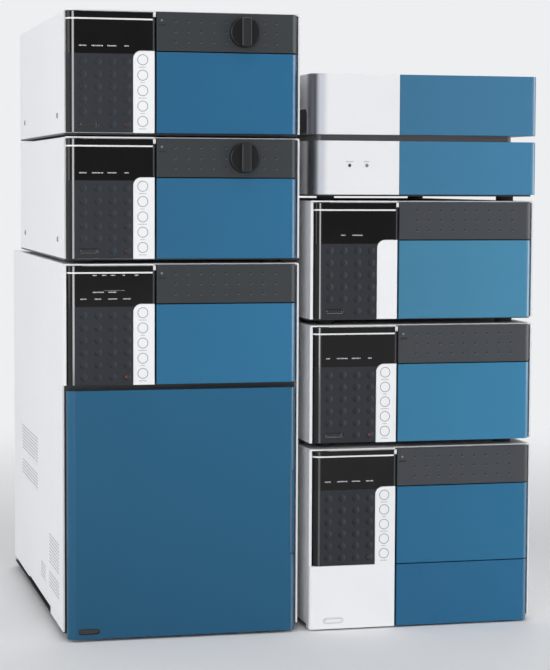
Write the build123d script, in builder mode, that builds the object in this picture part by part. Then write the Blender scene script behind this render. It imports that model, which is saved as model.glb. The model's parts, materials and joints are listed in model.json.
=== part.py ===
from build123d import *
from math import asin, degrees
import os

# A liquid-chromatography system: two stacks of bench modules standing side by side.
# Millimetres, +Z up, +X to the right, fronts facing -Y, floor at Z = 0.

# ---------------------------------------------------------------- driving sizes
PANEL_WIDTH = 262.5  # key cover, seam and door together
FRAME_MARGIN = 3.5  # framed modules are this much wider, for the strip beside the key cover
PUMP_MARGIN = 0.5  # pumps have no such strip
PANEL_HEIGHT = 133.0  # one front panel
STACK_SPACING = 12.0  # air between the two stacks
MODULE_DEPTH = 420.0
SAMPLER_DEPTH = 475.0
KNOB_PROUD = 15.0  # the purge knobs stand this far in front of the doors

SAMPLER_BOTTOM = 3.0  # front of the autosampler above the floor
SAMPLER_DOOR_HEIGHT = 275.5
SAMPLER_SEAM = 6.0  # between its door and its key panel
SAMPLER_LIFT = 6.3  # its case ends this much above its door
OVEN_BOTTOM = 2.0
OVEN_SKIRT = 72.0  # the oven front below its key panel
OVEN_LIFT = 4.0
LEFT_AIR = 5.5  # air between modules, left stack
PUMP_AIR = 4.3  # air between the two pumps
RIGHT_AIR = 7.0  # air between modules, right stack
DEGASSER_HEIGHT = 60.0
TRAY_HEIGHT = 67.5

CASE_WALL = 2.0
CASE_EDGE = 9.5  # front edge of the case behind the front plane
HINGE_RELIEF = 15.5  # left case wall starts here, clear of the turning key cover
CASE_FOLD = 2.0  # outside radius of the sheet folds
PAN_THICKNESS = 2.0
PAN_INSET = 0.5
SHEET = 2.0  # inner sheet metal
FIT = 0.2  # sheet inside sheet
SHELL_GAP = 0.3  # moulding in front of the case edge

BEZEL_DEPTH = 22.0
BEZEL_WALL = 2.5
BEZEL_WIDTH = 96.5
SHELF_BACK = 9.6  # key floor behind the front plane
ISLAND_LEFT = 73.0  # white key column, from the panel's left edge
ISLAND_DROP = 0.3  # its top below the vent strip's lower edge
ISLAND_CORNER = 9.0
FRAME_STRIP = 3.1  # frame beside the key cover
FRAME_TOP = 1.5  # frame above it
FRAME_SETBACK = 2.0
SIDE_SETBACK = 4.5  # beside the cover, clear of the key bumps when it stands open
FRAME_ROOT = 4.0  # height of the web that carries the upper frame
WEB_SETBACK = 3.5  # front of that web, behind the key cover
SKIRT_CORNER = 4.0

ROUND_KEY_RADIUS = 5.8
ROUND_KEY_GROOVE = 0.5
ROUND_KEY_DEPTH = 0.4
ROUND_KEY_X = 83.5
ROUND_KEY_LOW = 12.5
ROUND_KEY_TOP = 9.6  # top ring centre below the top of the white column
ROUND_KEY_COUNT = 5

KEY_COLUMNS = 4
KEY_ROWS = 6
KEY_X = 17.8
KEY_LOW = 9.0
KEY_PITCH_X = 16.1
KEY_TOP = 12.0  # top key row below the top of the white column
KEY_RADIUS = 4.5
KEY_HEIGHT = 3.4
BUMP_RADIUS = 4.4
BUMP_HEIGHT = 0.8

DISPLAY_LEFT = 14.0
DISPLAY_RIGHT = 88.0
DISPLAY_RISE = 5.5  # above the white column
DISPLAY_DROP = 16.0  # below the panel's top
DISPLAY_PROUD = 4.0

COVER_WALL = 2.5
COVER_RADIUS = 9.0  # rounded hinge edge, struck from the hinge axis
COVER_GAP = 0.5
COVER_TOP_GAP = 0.8
COVER_EDGE_ROUND = 1.0
TAB_HEIGHT = 5.4
TAB_LAP = 1.6  # on the cover
TAB_REACH = 1.4  # past its edge
TAB_PROUD = 0.4
CAP_THICKNESS = 2.0

PIN_RADIUS = 1.5
PIN_CLEARANCE = 0.08
LUG_THICKNESS = 2.6
LUG_GAP = 0.4
LUG_RADIUS = 3.6
LUG_REACH = 12.0  # key-cover lugs run this far right of the axis
LUG_CLEAR = 2.5  # and start here, out of the turning edge's way
KNUCKLE_REACH = 5.0
KNUCKLE_THICKNESS = 2.5

SEAM = 2.5  # bezel to door
DOOR_WALL = 3.0
DOOR_DEPTH = 9.2
DOOR_RADIUS = 8.0
DOOR_INSET = 4.7  # doors stop short of the right case wall
DOOR_EDGE_ROUND = 0.8
DOOR_SEAM = 1.0  # between door and vent strip
STRIP_HEIGHT = 43.7  # vent strip's lower edge, down from the panel's top
STRIP_TOP_GAP = 1.2  # and its upper edge
DOOR_AXIS_X = 14.0  # hinge axis from the door's left edge
DOOR_AXIS_Y = 6.5  # and behind the front plane
DOOR_ARM = 2.8  # half width of a hinge arm
DOOR_LUG_RADIUS = 3.0
DOOR_KNUCKLE_LOW = 14.0  # knuckles above a door's lower edge and below its upper edge
DOOR_KNUCKLE_DROP = 12.3
COVER_KNUCKLE_LOW = 17.0
COVER_KNUCKLE_DROP = 10.5
SAMPLER_KNUCKLE_LOW = 30.0
SAMPLER_KNUCKLE_DROP = 20.5

DIMPLE_X = 119.7
DIMPLE_COLUMNS = 9
DIMPLE_ROWS = 3
DIMPLE_RIGHT = 29.2  # last column, from the panel's right edge
DIMPLE_PITCH_Z = 11.2
DIMPLE_RISE = 10.5  # lowest row above the strip's lower edge
DIMPLE_RADIUS = 0.9
DIMPLE_DEPTH = 0.9
LAMP_X = 104.5
LAMP_DROP = 10.5
LAMP_RADIUS = 1.3
LAMP_PROUD = 0.4
BOSS_RADIUS = 4.0
BOSS_INSET = 12.0

SLOT_LENGTH = 22.4
SLOT_HEIGHT = 5.2
SLOT_X = 24.2
SLOT_Z = 8.8
BUTTON_CLEARANCE = 0.3
BUTTON_RECESS = 1.0  # button face behind the cover's inner face
BUTTON_TRAVEL = 1.5
BUTTON_FLANGE = 1.6
FLANGE_THICKNESS = 1.5
FLANGE_GAP = 0.1
SAMPLER_SLOT_X = 23.4
SAMPLER_SLOT_Z = 8.5
OVEN_BUTTON_Z = 9.5
OVEN_BUTTON_PROUD = 1.0

KNOB_RIGHT = 65.7  # knob axis from the panel's right edge
KNOB_DROP = 22.0  # and below its top
KNOB_RADIUS = 16.7
KNOB_DISC = 6.0
KNOB_GAP = 0.4
KNOB_GRIP_WIDTH = 11.0
KNOB_ROUND = 1.5
KNOB_SHAFT_RADIUS = 4.0
KNOB_SHAFT_CLEARANCE = 0.08
KNOB_SHAFT_LENGTH = 34.0
VALVE_BODY = 28.0
VALVE_DEPTH = 18.0

COMPARTMENT_LEFT = 115.0  # from the panel's left edge
COMPARTMENT_DEPTH = 88.0
COMPARTMENT_DROP = 1.3  # its top below the vent strip's lower edge
HEAD_MARGIN = 10.5  # mounting plate inside the compartment, each side
HEAD_PLATE_MARGIN = 12.0  # and above and below
HEAD_PLATE_THICKNESS = 10.0
HEAD_RADIUS = 19.0
HEAD_LENGTH = 42.0
HEAD_SPACING = 56.0
VALVE_RADIUS = 6.0
VALVE_MARGIN = 8.0  # check valves stop this far inside the compartment

FOOT_RADIUS = 10.0
FOOT_SIDE_INSET = 25.5
FOOT_FRONT_INSET = 37.0
FOOT_BACK_INSET = 40.0

INLET_WIDTH = 48.0
INLET_HEIGHT = 28.0
INLET_DEPTH = 22.0
INLET_WALL = 3.0
INLET_INSET = 45.0
INLET_RISE = 24.0
INLET_POCKET = 16.0
VENT_SLOTS = 9
VENT_WIDTH = 3.0
VENT_HEIGHT = 44.0
VENT_PITCH = 9.0
VENT_RIGHT = 30.0
VENT_RISE = 14.0

PATCH_DEPTH = 0.5  # perforated patches pressed into the left case wall
PATCHES = (  # front, back, low and high edges, behind the front plane and above the floor
    (233.0, 396.0, 165.0, 202.5),
    (233.0, 396.0, 134.5, 158.0),
    (48.0, 136.0, 64.5, 104.0),
    (48.0, 136.0, 35.0, 61.0),
    (163.0, 212.0, 35.0, 58.5),
)
NOTCH_FRONT = 120.0  # autosampler case: hand notch, distances behind the front
NOTCH_BACK = 322.0
NOTCH_RISE = 8.0
TAIL_RISE = 5.5
CHAMBER_DEPTH = 330.0
CHAMBER_FRAME = 22.0
CHAMBER_RISE = 0.5  # chamber roof above the door's upper edge
GRIP_LOW = 89.0
GRIP_HIGH = 185.0
GRIP_DEPTH = 6.0
GRIP_WIDTH = 7.0

RACK_MARGIN = 24.0  # plate tray inside the module, each side
RACK_DEPTH = 150.0
RACK_HEIGHT = 24.0
RACK_LIFT = 8.0
BAY_COUNT = 2  # bays for sample plates
BAY_GAP = 12.0  # between the bays
BAY_SIDE = 14.0  # tray rim beside the bays
BAY_END = 10.0  # and at their ends
BAY_DEPTH = 14.0
BAY_CORNER = 4.0
RACK_BACK_OFFSET = 60.0
RAIL_SIZE = 10.0
RAIL_DROP = 43.0  # underside of the rail below the chamber roof
RAIL_BEHIND = 170.0
CARRIAGE_SIZE = 30.0
CARRIAGE_GAP = 0.3
ARM_LENGTH = 70.0
ARM_HEIGHT = 14.0
ARM_WIDTH = 16.0
NEEDLE_RADIUS = 0.8
NEEDLE_LENGTH = 60.0
NEEDLE_HUB_RADIUS = 4.0
NEEDLE_HUB_LENGTH = 22.0
ARM_START = 50.0

TRAY_WALL = 3.0
TRAY_CORNER = 14.0
TRAY_REAR_CORNER = 8.0
HAND_NOTCH_FRONT = 24.0  # carrying notches in the tray's side walls
HAND_NOTCH_WIDTH = 100.0
HAND_NOTCH_HEIGHT = 29.0
HAND_NOTCH_CORNER = 8.0
WHITE_WIDTH = 101.5  # white part of the tray and degasser fronts
PANEL_BUTT = 0.5
BASE_LEFT = 10.0
BASE_RIGHT = 23.0
BASE_FRONT = 20.0
BASE_BACK = 20.0
BASE_CORNER = 6.0
LED_RADIUS = 1.7
LED_PROUD = 0.4
LED_X = (43.0, 63.2)
LED_Z = 32.5

CELL_MARGIN = 13.5  # cell and lamp house inside the compartment, each side
CELL_LAP = 2.0  # lamp house let into the cell block
CELL_HEIGHT = 54.0
CELL_DEPTH = 40.0
LAMP_HOUSE_RADIUS = 20.0
LAMP_HOUSE_LENGTH = 52.0

HEATER_MARGIN = 5.5  # heater plate inside the compartment, each side
HEATER_HEIGHT = 60.0
HEATER_DEPTH = 16.0
CLIP_WIDTH = 10.0
CLIP_RADIUS = 8.5
CLIP_REACH = 16.0
CLIP_INSET = 12.0  # clips from the ends of the column tube
COLUMN_RADIUS = 5.0
COLUMN_INSET = 14.0  # column tube inside the heater plate, each end
COLUMN_NUT_RADIUS = 7.5
COLUMN_NUT_LENGTH = 9.0
COLUMN_CLEARANCE = 0.1
CLIP_OPENING = 8.0
EDGE_TOUCH = 0.01  # how near a plane an edge counts as on it

# ---------------------------------------------------------------- sizes and places worked out
MODULE_WIDTH = PANEL_WIDTH + FRAME_MARGIN
PUMP_WIDTH = PANEL_WIDTH + PUMP_MARGIN
FRONT = KNOB_PROUD - (SAMPLER_DEPTH + KNOB_PROUD) / 2  # Y of the front plane
LEFT_STACK = -MODULE_WIDTH - STACK_SPACING / 2
RIGHT_STACK = STACK_SPACING / 2
PUMP_LEFT = LEFT_STACK + MODULE_WIDTH - PUMP_WIDTH
DOOR_LEFT = BEZEL_WIDTH + SEAM  # from the panel's left edge
DOOR_RIGHT = PANEL_WIDTH - DOOR_INSET
STRIP_LOW = PANEL_HEIGHT - STRIP_HEIGHT
DOOR_TOP = STRIP_LOW - DOOR_SEAM
DOOR_KNUCKLES = (DOOR_KNUCKLE_LOW, DOOR_TOP - DOOR_KNUCKLE_DROP)
COVER_KNUCKLES = (COVER_KNUCKLE_LOW, PANEL_HEIGHT - COVER_KNUCKLE_DROP)
SAMPLER_KNUCKLES = (SAMPLER_KNUCKLE_LOW, SAMPLER_DOOR_HEIGHT - SAMPLER_KNUCKLE_DROP)
ISLAND_HEIGHT = STRIP_LOW - ISLAND_DROP
ROUND_KEY_PITCH = (ISLAND_HEIGHT - ROUND_KEY_LOW - ROUND_KEY_TOP) / (ROUND_KEY_COUNT - 1)
KEY_PITCH_Z = (ISLAND_HEIGHT - KEY_LOW - KEY_TOP) / (KEY_ROWS - 1)
DIMPLE_PITCH_X = (PANEL_WIDTH - DIMPLE_RIGHT - DIMPLE_X) / (DIMPLE_COLUMNS - 1)
KNOB_X = PANEL_WIDTH - KNOB_RIGHT
KNOB_Z = PANEL_HEIGHT - KNOB_DROP
LAMP_Z = PANEL_HEIGHT - LAMP_DROP

COMPARTMENT_WIDTH = PANEL_WIDTH - COMPARTMENT_LEFT - CASE_WALL - FIT - 2 * SHEET  # clear width
COMPARTMENT_HIGH = STRIP_LOW - COMPARTMENT_DROP
HEAD_HEIGHT = COMPARTMENT_HIGH / 2
HEAD_PLATE_WIDTH = COMPARTMENT_WIDTH - 2 * HEAD_MARGIN
HEAD_PLATE_HEIGHT = COMPARTMENT_HIGH - 2 * HEAD_PLATE_MARGIN
VALVE_LENGTH = HEAD_HEIGHT - HEAD_RADIUS - VALVE_MARGIN
CELL_WIDTH = COMPARTMENT_WIDTH - 2 * CELL_MARGIN - 2 * LAMP_HOUSE_RADIUS + CELL_LAP
HEATER_WIDTH = COMPARTMENT_WIDTH - 2 * HEATER_MARGIN
COLUMN_LENGTH = HEATER_WIDTH - 2 * COLUMN_INSET
CLIP_SPACING = COLUMN_LENGTH - 2 * CLIP_INSET

SAMPLER_HEIGHT = SAMPLER_DOOR_HEIGHT + SAMPLER_SEAM + PANEL_HEIGHT
SAMPLER_TOP = SAMPLER_BOTTOM + SAMPLER_HEIGHT
SAMPLER_PANEL = SAMPLER_TOP - PANEL_HEIGHT
PUMP_2_BOTTOM = SAMPLER_TOP + LEFT_AIR
PUMP_1_BOTTOM = PUMP_2_BOTTOM + PANEL_HEIGHT + PUMP_AIR
CHAMBER_TOP = SAMPLER_BOTTOM + SAMPLER_DOOR_HEIGHT + CHAMBER_RISE
RAIL_HEIGHT = CHAMBER_TOP - RAIL_DROP
RACK_WIDTH = MODULE_WIDTH - 2 * RACK_MARGIN
BAY_WIDTH = (RACK_WIDTH - 2 * BAY_SIDE - BAY_GAP) / BAY_COUNT
BAY_PITCH = BAY_WIDTH + BAY_GAP
BAY_LENGTH = RACK_DEPTH - 2 * BAY_END
OVEN_PANEL = OVEN_BOTTOM + OVEN_SKIRT
OVEN_TOP = OVEN_PANEL + PANEL_HEIGHT
DETECTOR_BOTTOM = OVEN_TOP + RIGHT_AIR
CONTROLLER_BOTTOM = DETECTOR_BOTTOM + PANEL_HEIGHT + RIGHT_AIR
DEGASSER_BOTTOM = CONTROLLER_BOTTOM + PANEL_HEIGHT + RIGHT_AIR
DEGASSER_TOP = DEGASSER_BOTTOM + DEGASSER_HEIGHT
TRAY_BOTTOM = DEGASSER_TOP + RIGHT_AIR

os.makedirs("parts", exist_ok=True)


def save(builder, name):
    """Label one finished piece and write its STEP file."""
    builder.part.label = name
    export_step(builder.part, f"parts/{name}.step")


def block(x, y, z, mode=Mode.ADD):
    """Box given by its low and high X, Y and Z."""
    with Locations(((x[0] + x[1]) / 2, (y[0] + y[1]) / 2, (z[0] + z[1]) / 2)):
        Box(x[1] - x[0], y[1] - y[0], z[1] - z[0], mode=mode)


def rod(x, y, z, radius, mode=Mode.ADD):
    """Cylinder along the one axis that is given as a (low, high) pair."""
    if isinstance(z, tuple):
        with Locations((x, y, (z[0] + z[1]) / 2)):
            Cylinder(radius, z[1] - z[0], mode=mode)
    elif isinstance(y, tuple):
        with Locations((x, (y[0] + y[1]) / 2, z)):
            Cylinder(radius, y[1] - y[0], rotation=(90, 0, 0), mode=mode)
    else:
        with Locations(((x[0] + x[1]) / 2, y, z)):
            Cylinder(radius, x[1] - x[0], rotation=(0, 90, 0), mode=mode)


def upright(y):
    """Sketch plane facing the front at a depth behind the front plane: local x is X, local y is Z."""
    return Plane.XZ.offset(-(FRONT + y))


def obround(y, x, z, length, height, amount, mode=Mode.ADD):
    """Lying slot shape on an upright plane, extruded towards the front by amount."""
    with BuildSketch(upright(y)) as slot:
        with Locations((x, z)):
            SlotOverall(length, height)
    extrude(slot.sketch, amount=amount, mode=mode)


def dome(radius, height):
    """Shallow spherical swelling that faces the front."""
    sphere_radius = (radius ** 2 + height ** 2) / (2 * height)
    rim_latitude = 90 - degrees(asin(radius / sphere_radius))
    align = (Align.CENTER, Align.CENTER, Align.MIN)
    Sphere(sphere_radius, arc_size1=rim_latitude, arc_size2=90, rotation=(90, 0, 0), align=align)


# ---------------------------------------------------------------- sheet-metal cases
def rear_openings(left, right, bottom, top, back):
    """Mains inlet window and vent slots in a case's back wall."""
    wall = (back - 2 * CASE_WALL, back + CASE_WALL)
    low = bottom + INLET_RISE - INLET_HEIGHT / 2
    x_inlet = left + INLET_INSET
    block((x_inlet, x_inlet + INLET_WIDTH), wall, (low, low + INLET_HEIGHT), Mode.SUBTRACT)
    slot_high = min(bottom + VENT_RISE + VENT_HEIGHT, top - VENT_RISE)
    for i in range(VENT_SLOTS):
        x = right - VENT_RIGHT - i * VENT_PITCH
        block((x - VENT_WIDTH, x), wall, (bottom + VENT_RISE, slot_high), Mode.SUBTRACT)


def folded_cover(left, right, bottom, top, back, relief=True):
    """Top, sides and back folded from one sheet, open below and in front."""
    block((left, right), (FRONT + CASE_EDGE, back), (bottom, top))
    fillet(edges().filter_by(Axis.Y).group_by(Axis.Z)[-1], CASE_FOLD)
    inside_x = (left + CASE_WALL, right - CASE_WALL)
    block(inside_x, (FRONT, back - CASE_WALL), (bottom - CASE_WALL, top - CASE_WALL), Mode.SUBTRACT)
    if relief:
        edge = (FRONT, FRONT + HINGE_RELIEF)
        block((left - CASE_WALL, left + CASE_WALL), edge, (bottom, top - CASE_WALL), Mode.SUBTRACT)
    rear_openings(left, right, bottom, top, back)


def make_case(name, left, width, bottom, height, depth):
    with BuildPart() as case:
        folded_cover(left, left + width, bottom, bottom + height, FRONT + depth)
    save(case, name)


# ---------------------------------------------------------------- chassis
def inlet_socket(left, bottom, back):
    """Mains inlet body with its open pocket, in the case's back window and standing on the pan."""
    x = left + INLET_INSET
    low = bottom + INLET_RISE - INLET_HEIGHT / 2
    body_x = (x + FIT, x + INLET_WIDTH - FIT)
    body_z = (low + FIT, low + INLET_HEIGHT - FIT)
    block(body_x, (back - INLET_DEPTH, back), body_z)
    pocket_x = (body_x[0] + INLET_WALL, body_x[1] - INLET_WALL)
    pocket_z = (body_z[0] + INLET_WALL, body_z[1] - INLET_WALL)
    block(pocket_x, (back - INLET_POCKET, back + CASE_WALL), pocket_z, Mode.SUBTRACT)
    stem = (back - INLET_DEPTH, back - INLET_POCKET)
    block((body_x[0], body_x[1]), stem, (bottom, body_z[0] + INLET_WALL))


def make_inlets(name, places):
    """Mains inlets of all modules, from each one's left edge, pan top and back."""
    with BuildPart() as inlets:
        for left, bottom, back in places:
            inlet_socket(left, bottom, back)
    save(inlets, name)


def pan(left, right, bottom, back):
    """Floor sheet under the case walls, clear of what turns about the hinge axis."""
    depth = (FRONT + 2 * COVER_RADIUS + COVER_GAP, back - PAN_INSET)
    block((left + PAN_INSET, right - PAN_INSET), depth, (bottom - PAN_THICKNESS, bottom))


def bulkhead(left, right, bottom, top):
    """Upright sheet behind the front mouldings."""
    depth = (FRONT + BEZEL_DEPTH, FRONT + BEZEL_DEPTH + SHEET)
    inner = CASE_WALL + FIT
    block((left + inner, right - inner), depth, (bottom - PAN_THICKNESS, top - inner))


def door_axis(panel_left):
    return panel_left + DOOR_LEFT + DOOR_AXIS_X, FRONT + DOOR_AXIS_Y


def door_arms(panel_left, panel_bottom):
    """Two arms from the bulkhead that carry the door's hinge pins."""
    x, y = door_axis(panel_left)
    for knuckle in DOOR_KNUCKLES:
        z = (panel_bottom + knuckle - LUG_GAP - LUG_THICKNESS, panel_bottom + knuckle - LUG_GAP)
        block((x - DOOR_ARM, x + DOOR_ARM), (y, FRONT + BEZEL_DEPTH), z)
        rod(x, y, z, DOOR_LUG_RADIUS)
        rod(x, y, z, PIN_RADIUS + PIN_CLEARANCE, Mode.SUBTRACT)


def compartment(panel_left, right, panel_bottom):
    """Open box behind the door, let into the bulkhead."""
    inner = CASE_WALL + FIT
    x = (panel_left + COMPARTMENT_LEFT, right - inner)
    y = (FRONT + BEZEL_DEPTH, FRONT + COMPARTMENT_DEPTH + SHEET)
    z = (panel_bottom, panel_bottom + COMPARTMENT_HIGH)
    block(x, y, z)
    hollow_x = (x[0] + SHEET, x[1] - SHEET)
    block(hollow_x, (FRONT, FRONT + COMPARTMENT_DEPTH), (z[0] + SHEET, z[1] - SHEET), Mode.SUBTRACT)


def purge_valve_body(panel_left, panel_bottom):
    """Block behind the bulkhead that takes the knob's shaft."""
    x = panel_left + KNOB_X
    z = panel_bottom + KNOB_Z
    back = FRONT + BEZEL_DEPTH + SHEET
    half = VALVE_BODY / 2
    block((x - half, x + half), (back, back + VALVE_DEPTH), (z - half, z + half))
    rod(x, (FRONT, back + VALVE_DEPTH), z, KNOB_SHAFT_RADIUS + KNOB_SHAFT_CLEARANCE, Mode.SUBTRACT)


def make_chassis(name, left, width, panel_left, bottom, height, lift=0.0, panel=0.0, door=True, valve=False):
    """Pan and bulkhead, with the compartment and arms of a hinged door."""
    right = left + width
    case_bottom = bottom + lift
    with BuildPart() as chassis:
        pan(left, right, case_bottom, FRONT + MODULE_DEPTH)
        bulkhead(left, right, case_bottom, bottom + height)
        if door:
            compartment(panel_left, right, bottom + panel)
            door_arms(panel_left, bottom + panel)
        if valve:
            purge_valve_body(panel_left, bottom + panel)
    save(chassis, name)


# ---------------------------------------------------------------- key bezel and its cover
def key_places(panel_left, panel_bottom, full):
    """Centres of the square key field; the lowest row has only its two right-hand keys unless full."""
    places = []
    for row in range(KEY_ROWS):
        for column in range(KEY_COLUMNS):
            if row > 0 or full or column >= KEY_COLUMNS - 2:
                x = panel_left + KEY_X + column * KEY_PITCH_X
                places.append((x, panel_bottom + KEY_LOW + row * KEY_PITCH_Z))
    return places


def cover_axis(panel_left):
    return panel_left + COVER_RADIUS, FRONT + COVER_RADIUS


def cover_lugs(panel_left, panel_bottom):
    """Lugs on the bezel that carry the key cover's pins."""
    x, y = cover_axis(panel_left)
    for knuckle in COVER_KNUCKLES:
        z = (panel_bottom + knuckle - LUG_GAP - LUG_THICKNESS, panel_bottom + knuckle - LUG_GAP)
        block((x + LUG_CLEAR, x + LUG_REACH), (y - LUG_RADIUS, FRONT + BEZEL_DEPTH - BEZEL_WALL), z)
        block((x, x + LUG_CLEAR), (y - LUG_RADIUS, y + LUG_RADIUS), z)
        rod(x, y, z, LUG_RADIUS)
        rod(x, y, z, PIN_RADIUS + PIN_CLEARANCE, Mode.SUBTRACT)


def frame_strip(left, panel_left, bottom, top):
    """Narrow frame that shows above the key cover, and beside it where the case is wide enough."""
    inner = left + CASE_WALL + FIT
    side = left + FRAME_STRIP
    right = panel_left + BEZEL_WIDTH
    high = top - CASE_WALL - FIT
    front = FRONT + FRAME_SETBACK
    back = FRONT + BEZEL_DEPTH
    case_edge = FRONT + CASE_EDGE - SHELL_GAP
    web_x = (panel_left + 2 * COVER_RADIUS, right)
    block((left, right), (front, case_edge), (top - FRAME_TOP, top))
    block(web_x, (FRONT + WEB_SETBACK, case_edge), (top - FRAME_ROOT, top))
    block(web_x, (FRONT + WEB_SETBACK, back), (top - FRAME_ROOT, high))
    if side < panel_left:
        side_front = FRONT + SIDE_SETBACK
        block((left, side), (side_front, case_edge), (bottom, top))
        block((left, side), (side_front, FRONT + HINGE_RELIEF - SHELL_GAP), (bottom, high))
        block((inner, side), (side_front, back), (bottom, high))


def skirt(left, right, bottom, top):
    """White front below the key panel, flush with the front plane and wrapped in front of the case."""
    inner = left + CASE_WALL + FIT
    with BuildSketch(Plane.XY.offset(bottom)) as outline:
        with Locations((left, FRONT)):
            Rectangle(right - left, CASE_EDGE - SHELL_GAP, align=(Align.MIN, Align.MIN))
        corner = vertices().group_by(Axis.X)[0].sort_by(Axis.Y)[0]
        fillet(corner, SKIRT_CORNER)
    extrude(outline.sketch, amount=top - bottom)
    block((inner, right), (FRONT + CASE_EDGE - SHELL_GAP, FRONT + SHELF_BACK), (bottom, top))
    depth = (FRONT + CASE_EDGE - SHELL_GAP, FRONT + HINGE_RELIEF - SHELL_GAP)
    block((left, inner), depth, (bottom, top))


def button_room(x, z):
    """Guide window for a power button, with room for its flange behind."""
    length = SLOT_LENGTH - BUTTON_FLANGE + 2 * BUTTON_CLEARANCE
    height = SLOT_HEIGHT - BUTTON_FLANGE + 2 * BUTTON_CLEARANCE
    obround(BEZEL_DEPTH, x, z, length, height, BEZEL_DEPTH, Mode.SUBTRACT)
    half_length = SLOT_LENGTH / 2 + BUTTON_FLANGE
    half_height = SLOT_HEIGHT / 2 + BUTTON_FLANGE
    depth = (FRONT + SHELF_BACK + BEZEL_WALL, FRONT + BEZEL_DEPTH)
    block((x - half_length, x + half_length), depth, (z - half_height, z + half_height), Mode.SUBTRACT)


def make_bezel(name, left, panel_left, bottom, height, panel=0.0, lift=0.0, full=False, keys=True, button=True):
    """White moulding behind the key cover: key floor, display, key column and hinge lugs."""
    panel_bottom = bottom + panel
    top = bottom + height
    inner = left + CASE_WALL + FIT
    right = panel_left + BEZEL_WIDTH
    high = top - CASE_WALL - FIT
    axis_x, axis_y = cover_axis(panel_left)
    back = FRONT + BEZEL_DEPTH
    floor_y = FRONT + SHELF_BACK
    with BuildPart() as bezel:
        block((inner, right), (floor_y, back), (bottom, high))
        with BuildSketch(upright(SHELF_BACK)):
            with Locations((right, panel_bottom)):
                Rectangle(BEZEL_WIDTH - ISLAND_LEFT, ISLAND_HEIGHT, align=(Align.MAX, Align.MIN))
            corner = vertices().group_by(Axis.Y)[-1].sort_by(Axis.X)[0]
            fillet(corner, ISLAND_CORNER)
        extrude(amount=SHELF_BACK)
        if panel > 0:
            skirt(left, right, bottom, panel_bottom)
            over_pan = (FRONT + HINGE_RELIEF - SHELL_GAP, back)
            block((left, right), over_pan, (bottom, bottom + lift), Mode.SUBTRACT)
        channel_x = (inner - FIT, axis_x + LUG_RADIUS + LUG_GAP)
        channel_y = (FRONT, axis_y + COVER_RADIUS + COVER_GAP)
        channel_low = panel_bottom
        block(channel_x, channel_y, (channel_low, top), Mode.SUBTRACT)
        hollow_front = floor_y + BEZEL_WALL
        hollow_x = (axis_x + LUG_REACH + BEZEL_WALL, right - BEZEL_WALL)
        block(hollow_x, (hollow_front, back), (bottom + BEZEL_WALL, high - BEZEL_WALL), Mode.SUBTRACT)
        core_x = (panel_left + ISLAND_LEFT + BEZEL_WALL, right - BEZEL_WALL)
        core_z = (bottom + BEZEL_WALL, panel_bottom + ISLAND_HEIGHT - ISLAND_CORNER)
        block(core_x, (FRONT + BEZEL_WALL, back), core_z, Mode.SUBTRACT)
        if keys:
            for i in range(ROUND_KEY_COUNT):
                place = (panel_left + ROUND_KEY_X, panel_bottom + ROUND_KEY_LOW + i * ROUND_KEY_PITCH)
                with BuildSketch(upright(0)):
                    with Locations(place):
                        Circle(ROUND_KEY_RADIUS)
                        Circle(ROUND_KEY_RADIUS - ROUND_KEY_GROOVE, mode=Mode.SUBTRACT)
                extrude(amount=-ROUND_KEY_DEPTH, mode=Mode.SUBTRACT)
        with BuildSketch(upright(SHELF_BACK)):
            with Locations(*key_places(panel_left, panel_bottom, full)):
                Circle(KEY_RADIUS)
        extrude(amount=KEY_HEIGHT)
        display_x = (panel_left + DISPLAY_LEFT, panel_left + DISPLAY_RIGHT)
        display_z = (panel_bottom + ISLAND_HEIGHT + DISPLAY_RISE, panel_bottom + PANEL_HEIGHT - DISPLAY_DROP)
        block(display_x, (floor_y - DISPLAY_PROUD, floor_y), display_z)
        cover_lugs(panel_left, panel_bottom)
        frame_strip(left, panel_left, panel_bottom, top)
        if button:
            button_room(panel_left + SLOT_X, bottom + (OVEN_BUTTON_Z if panel > 0 else SLOT_Z))
    save(bezel, name)


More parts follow.
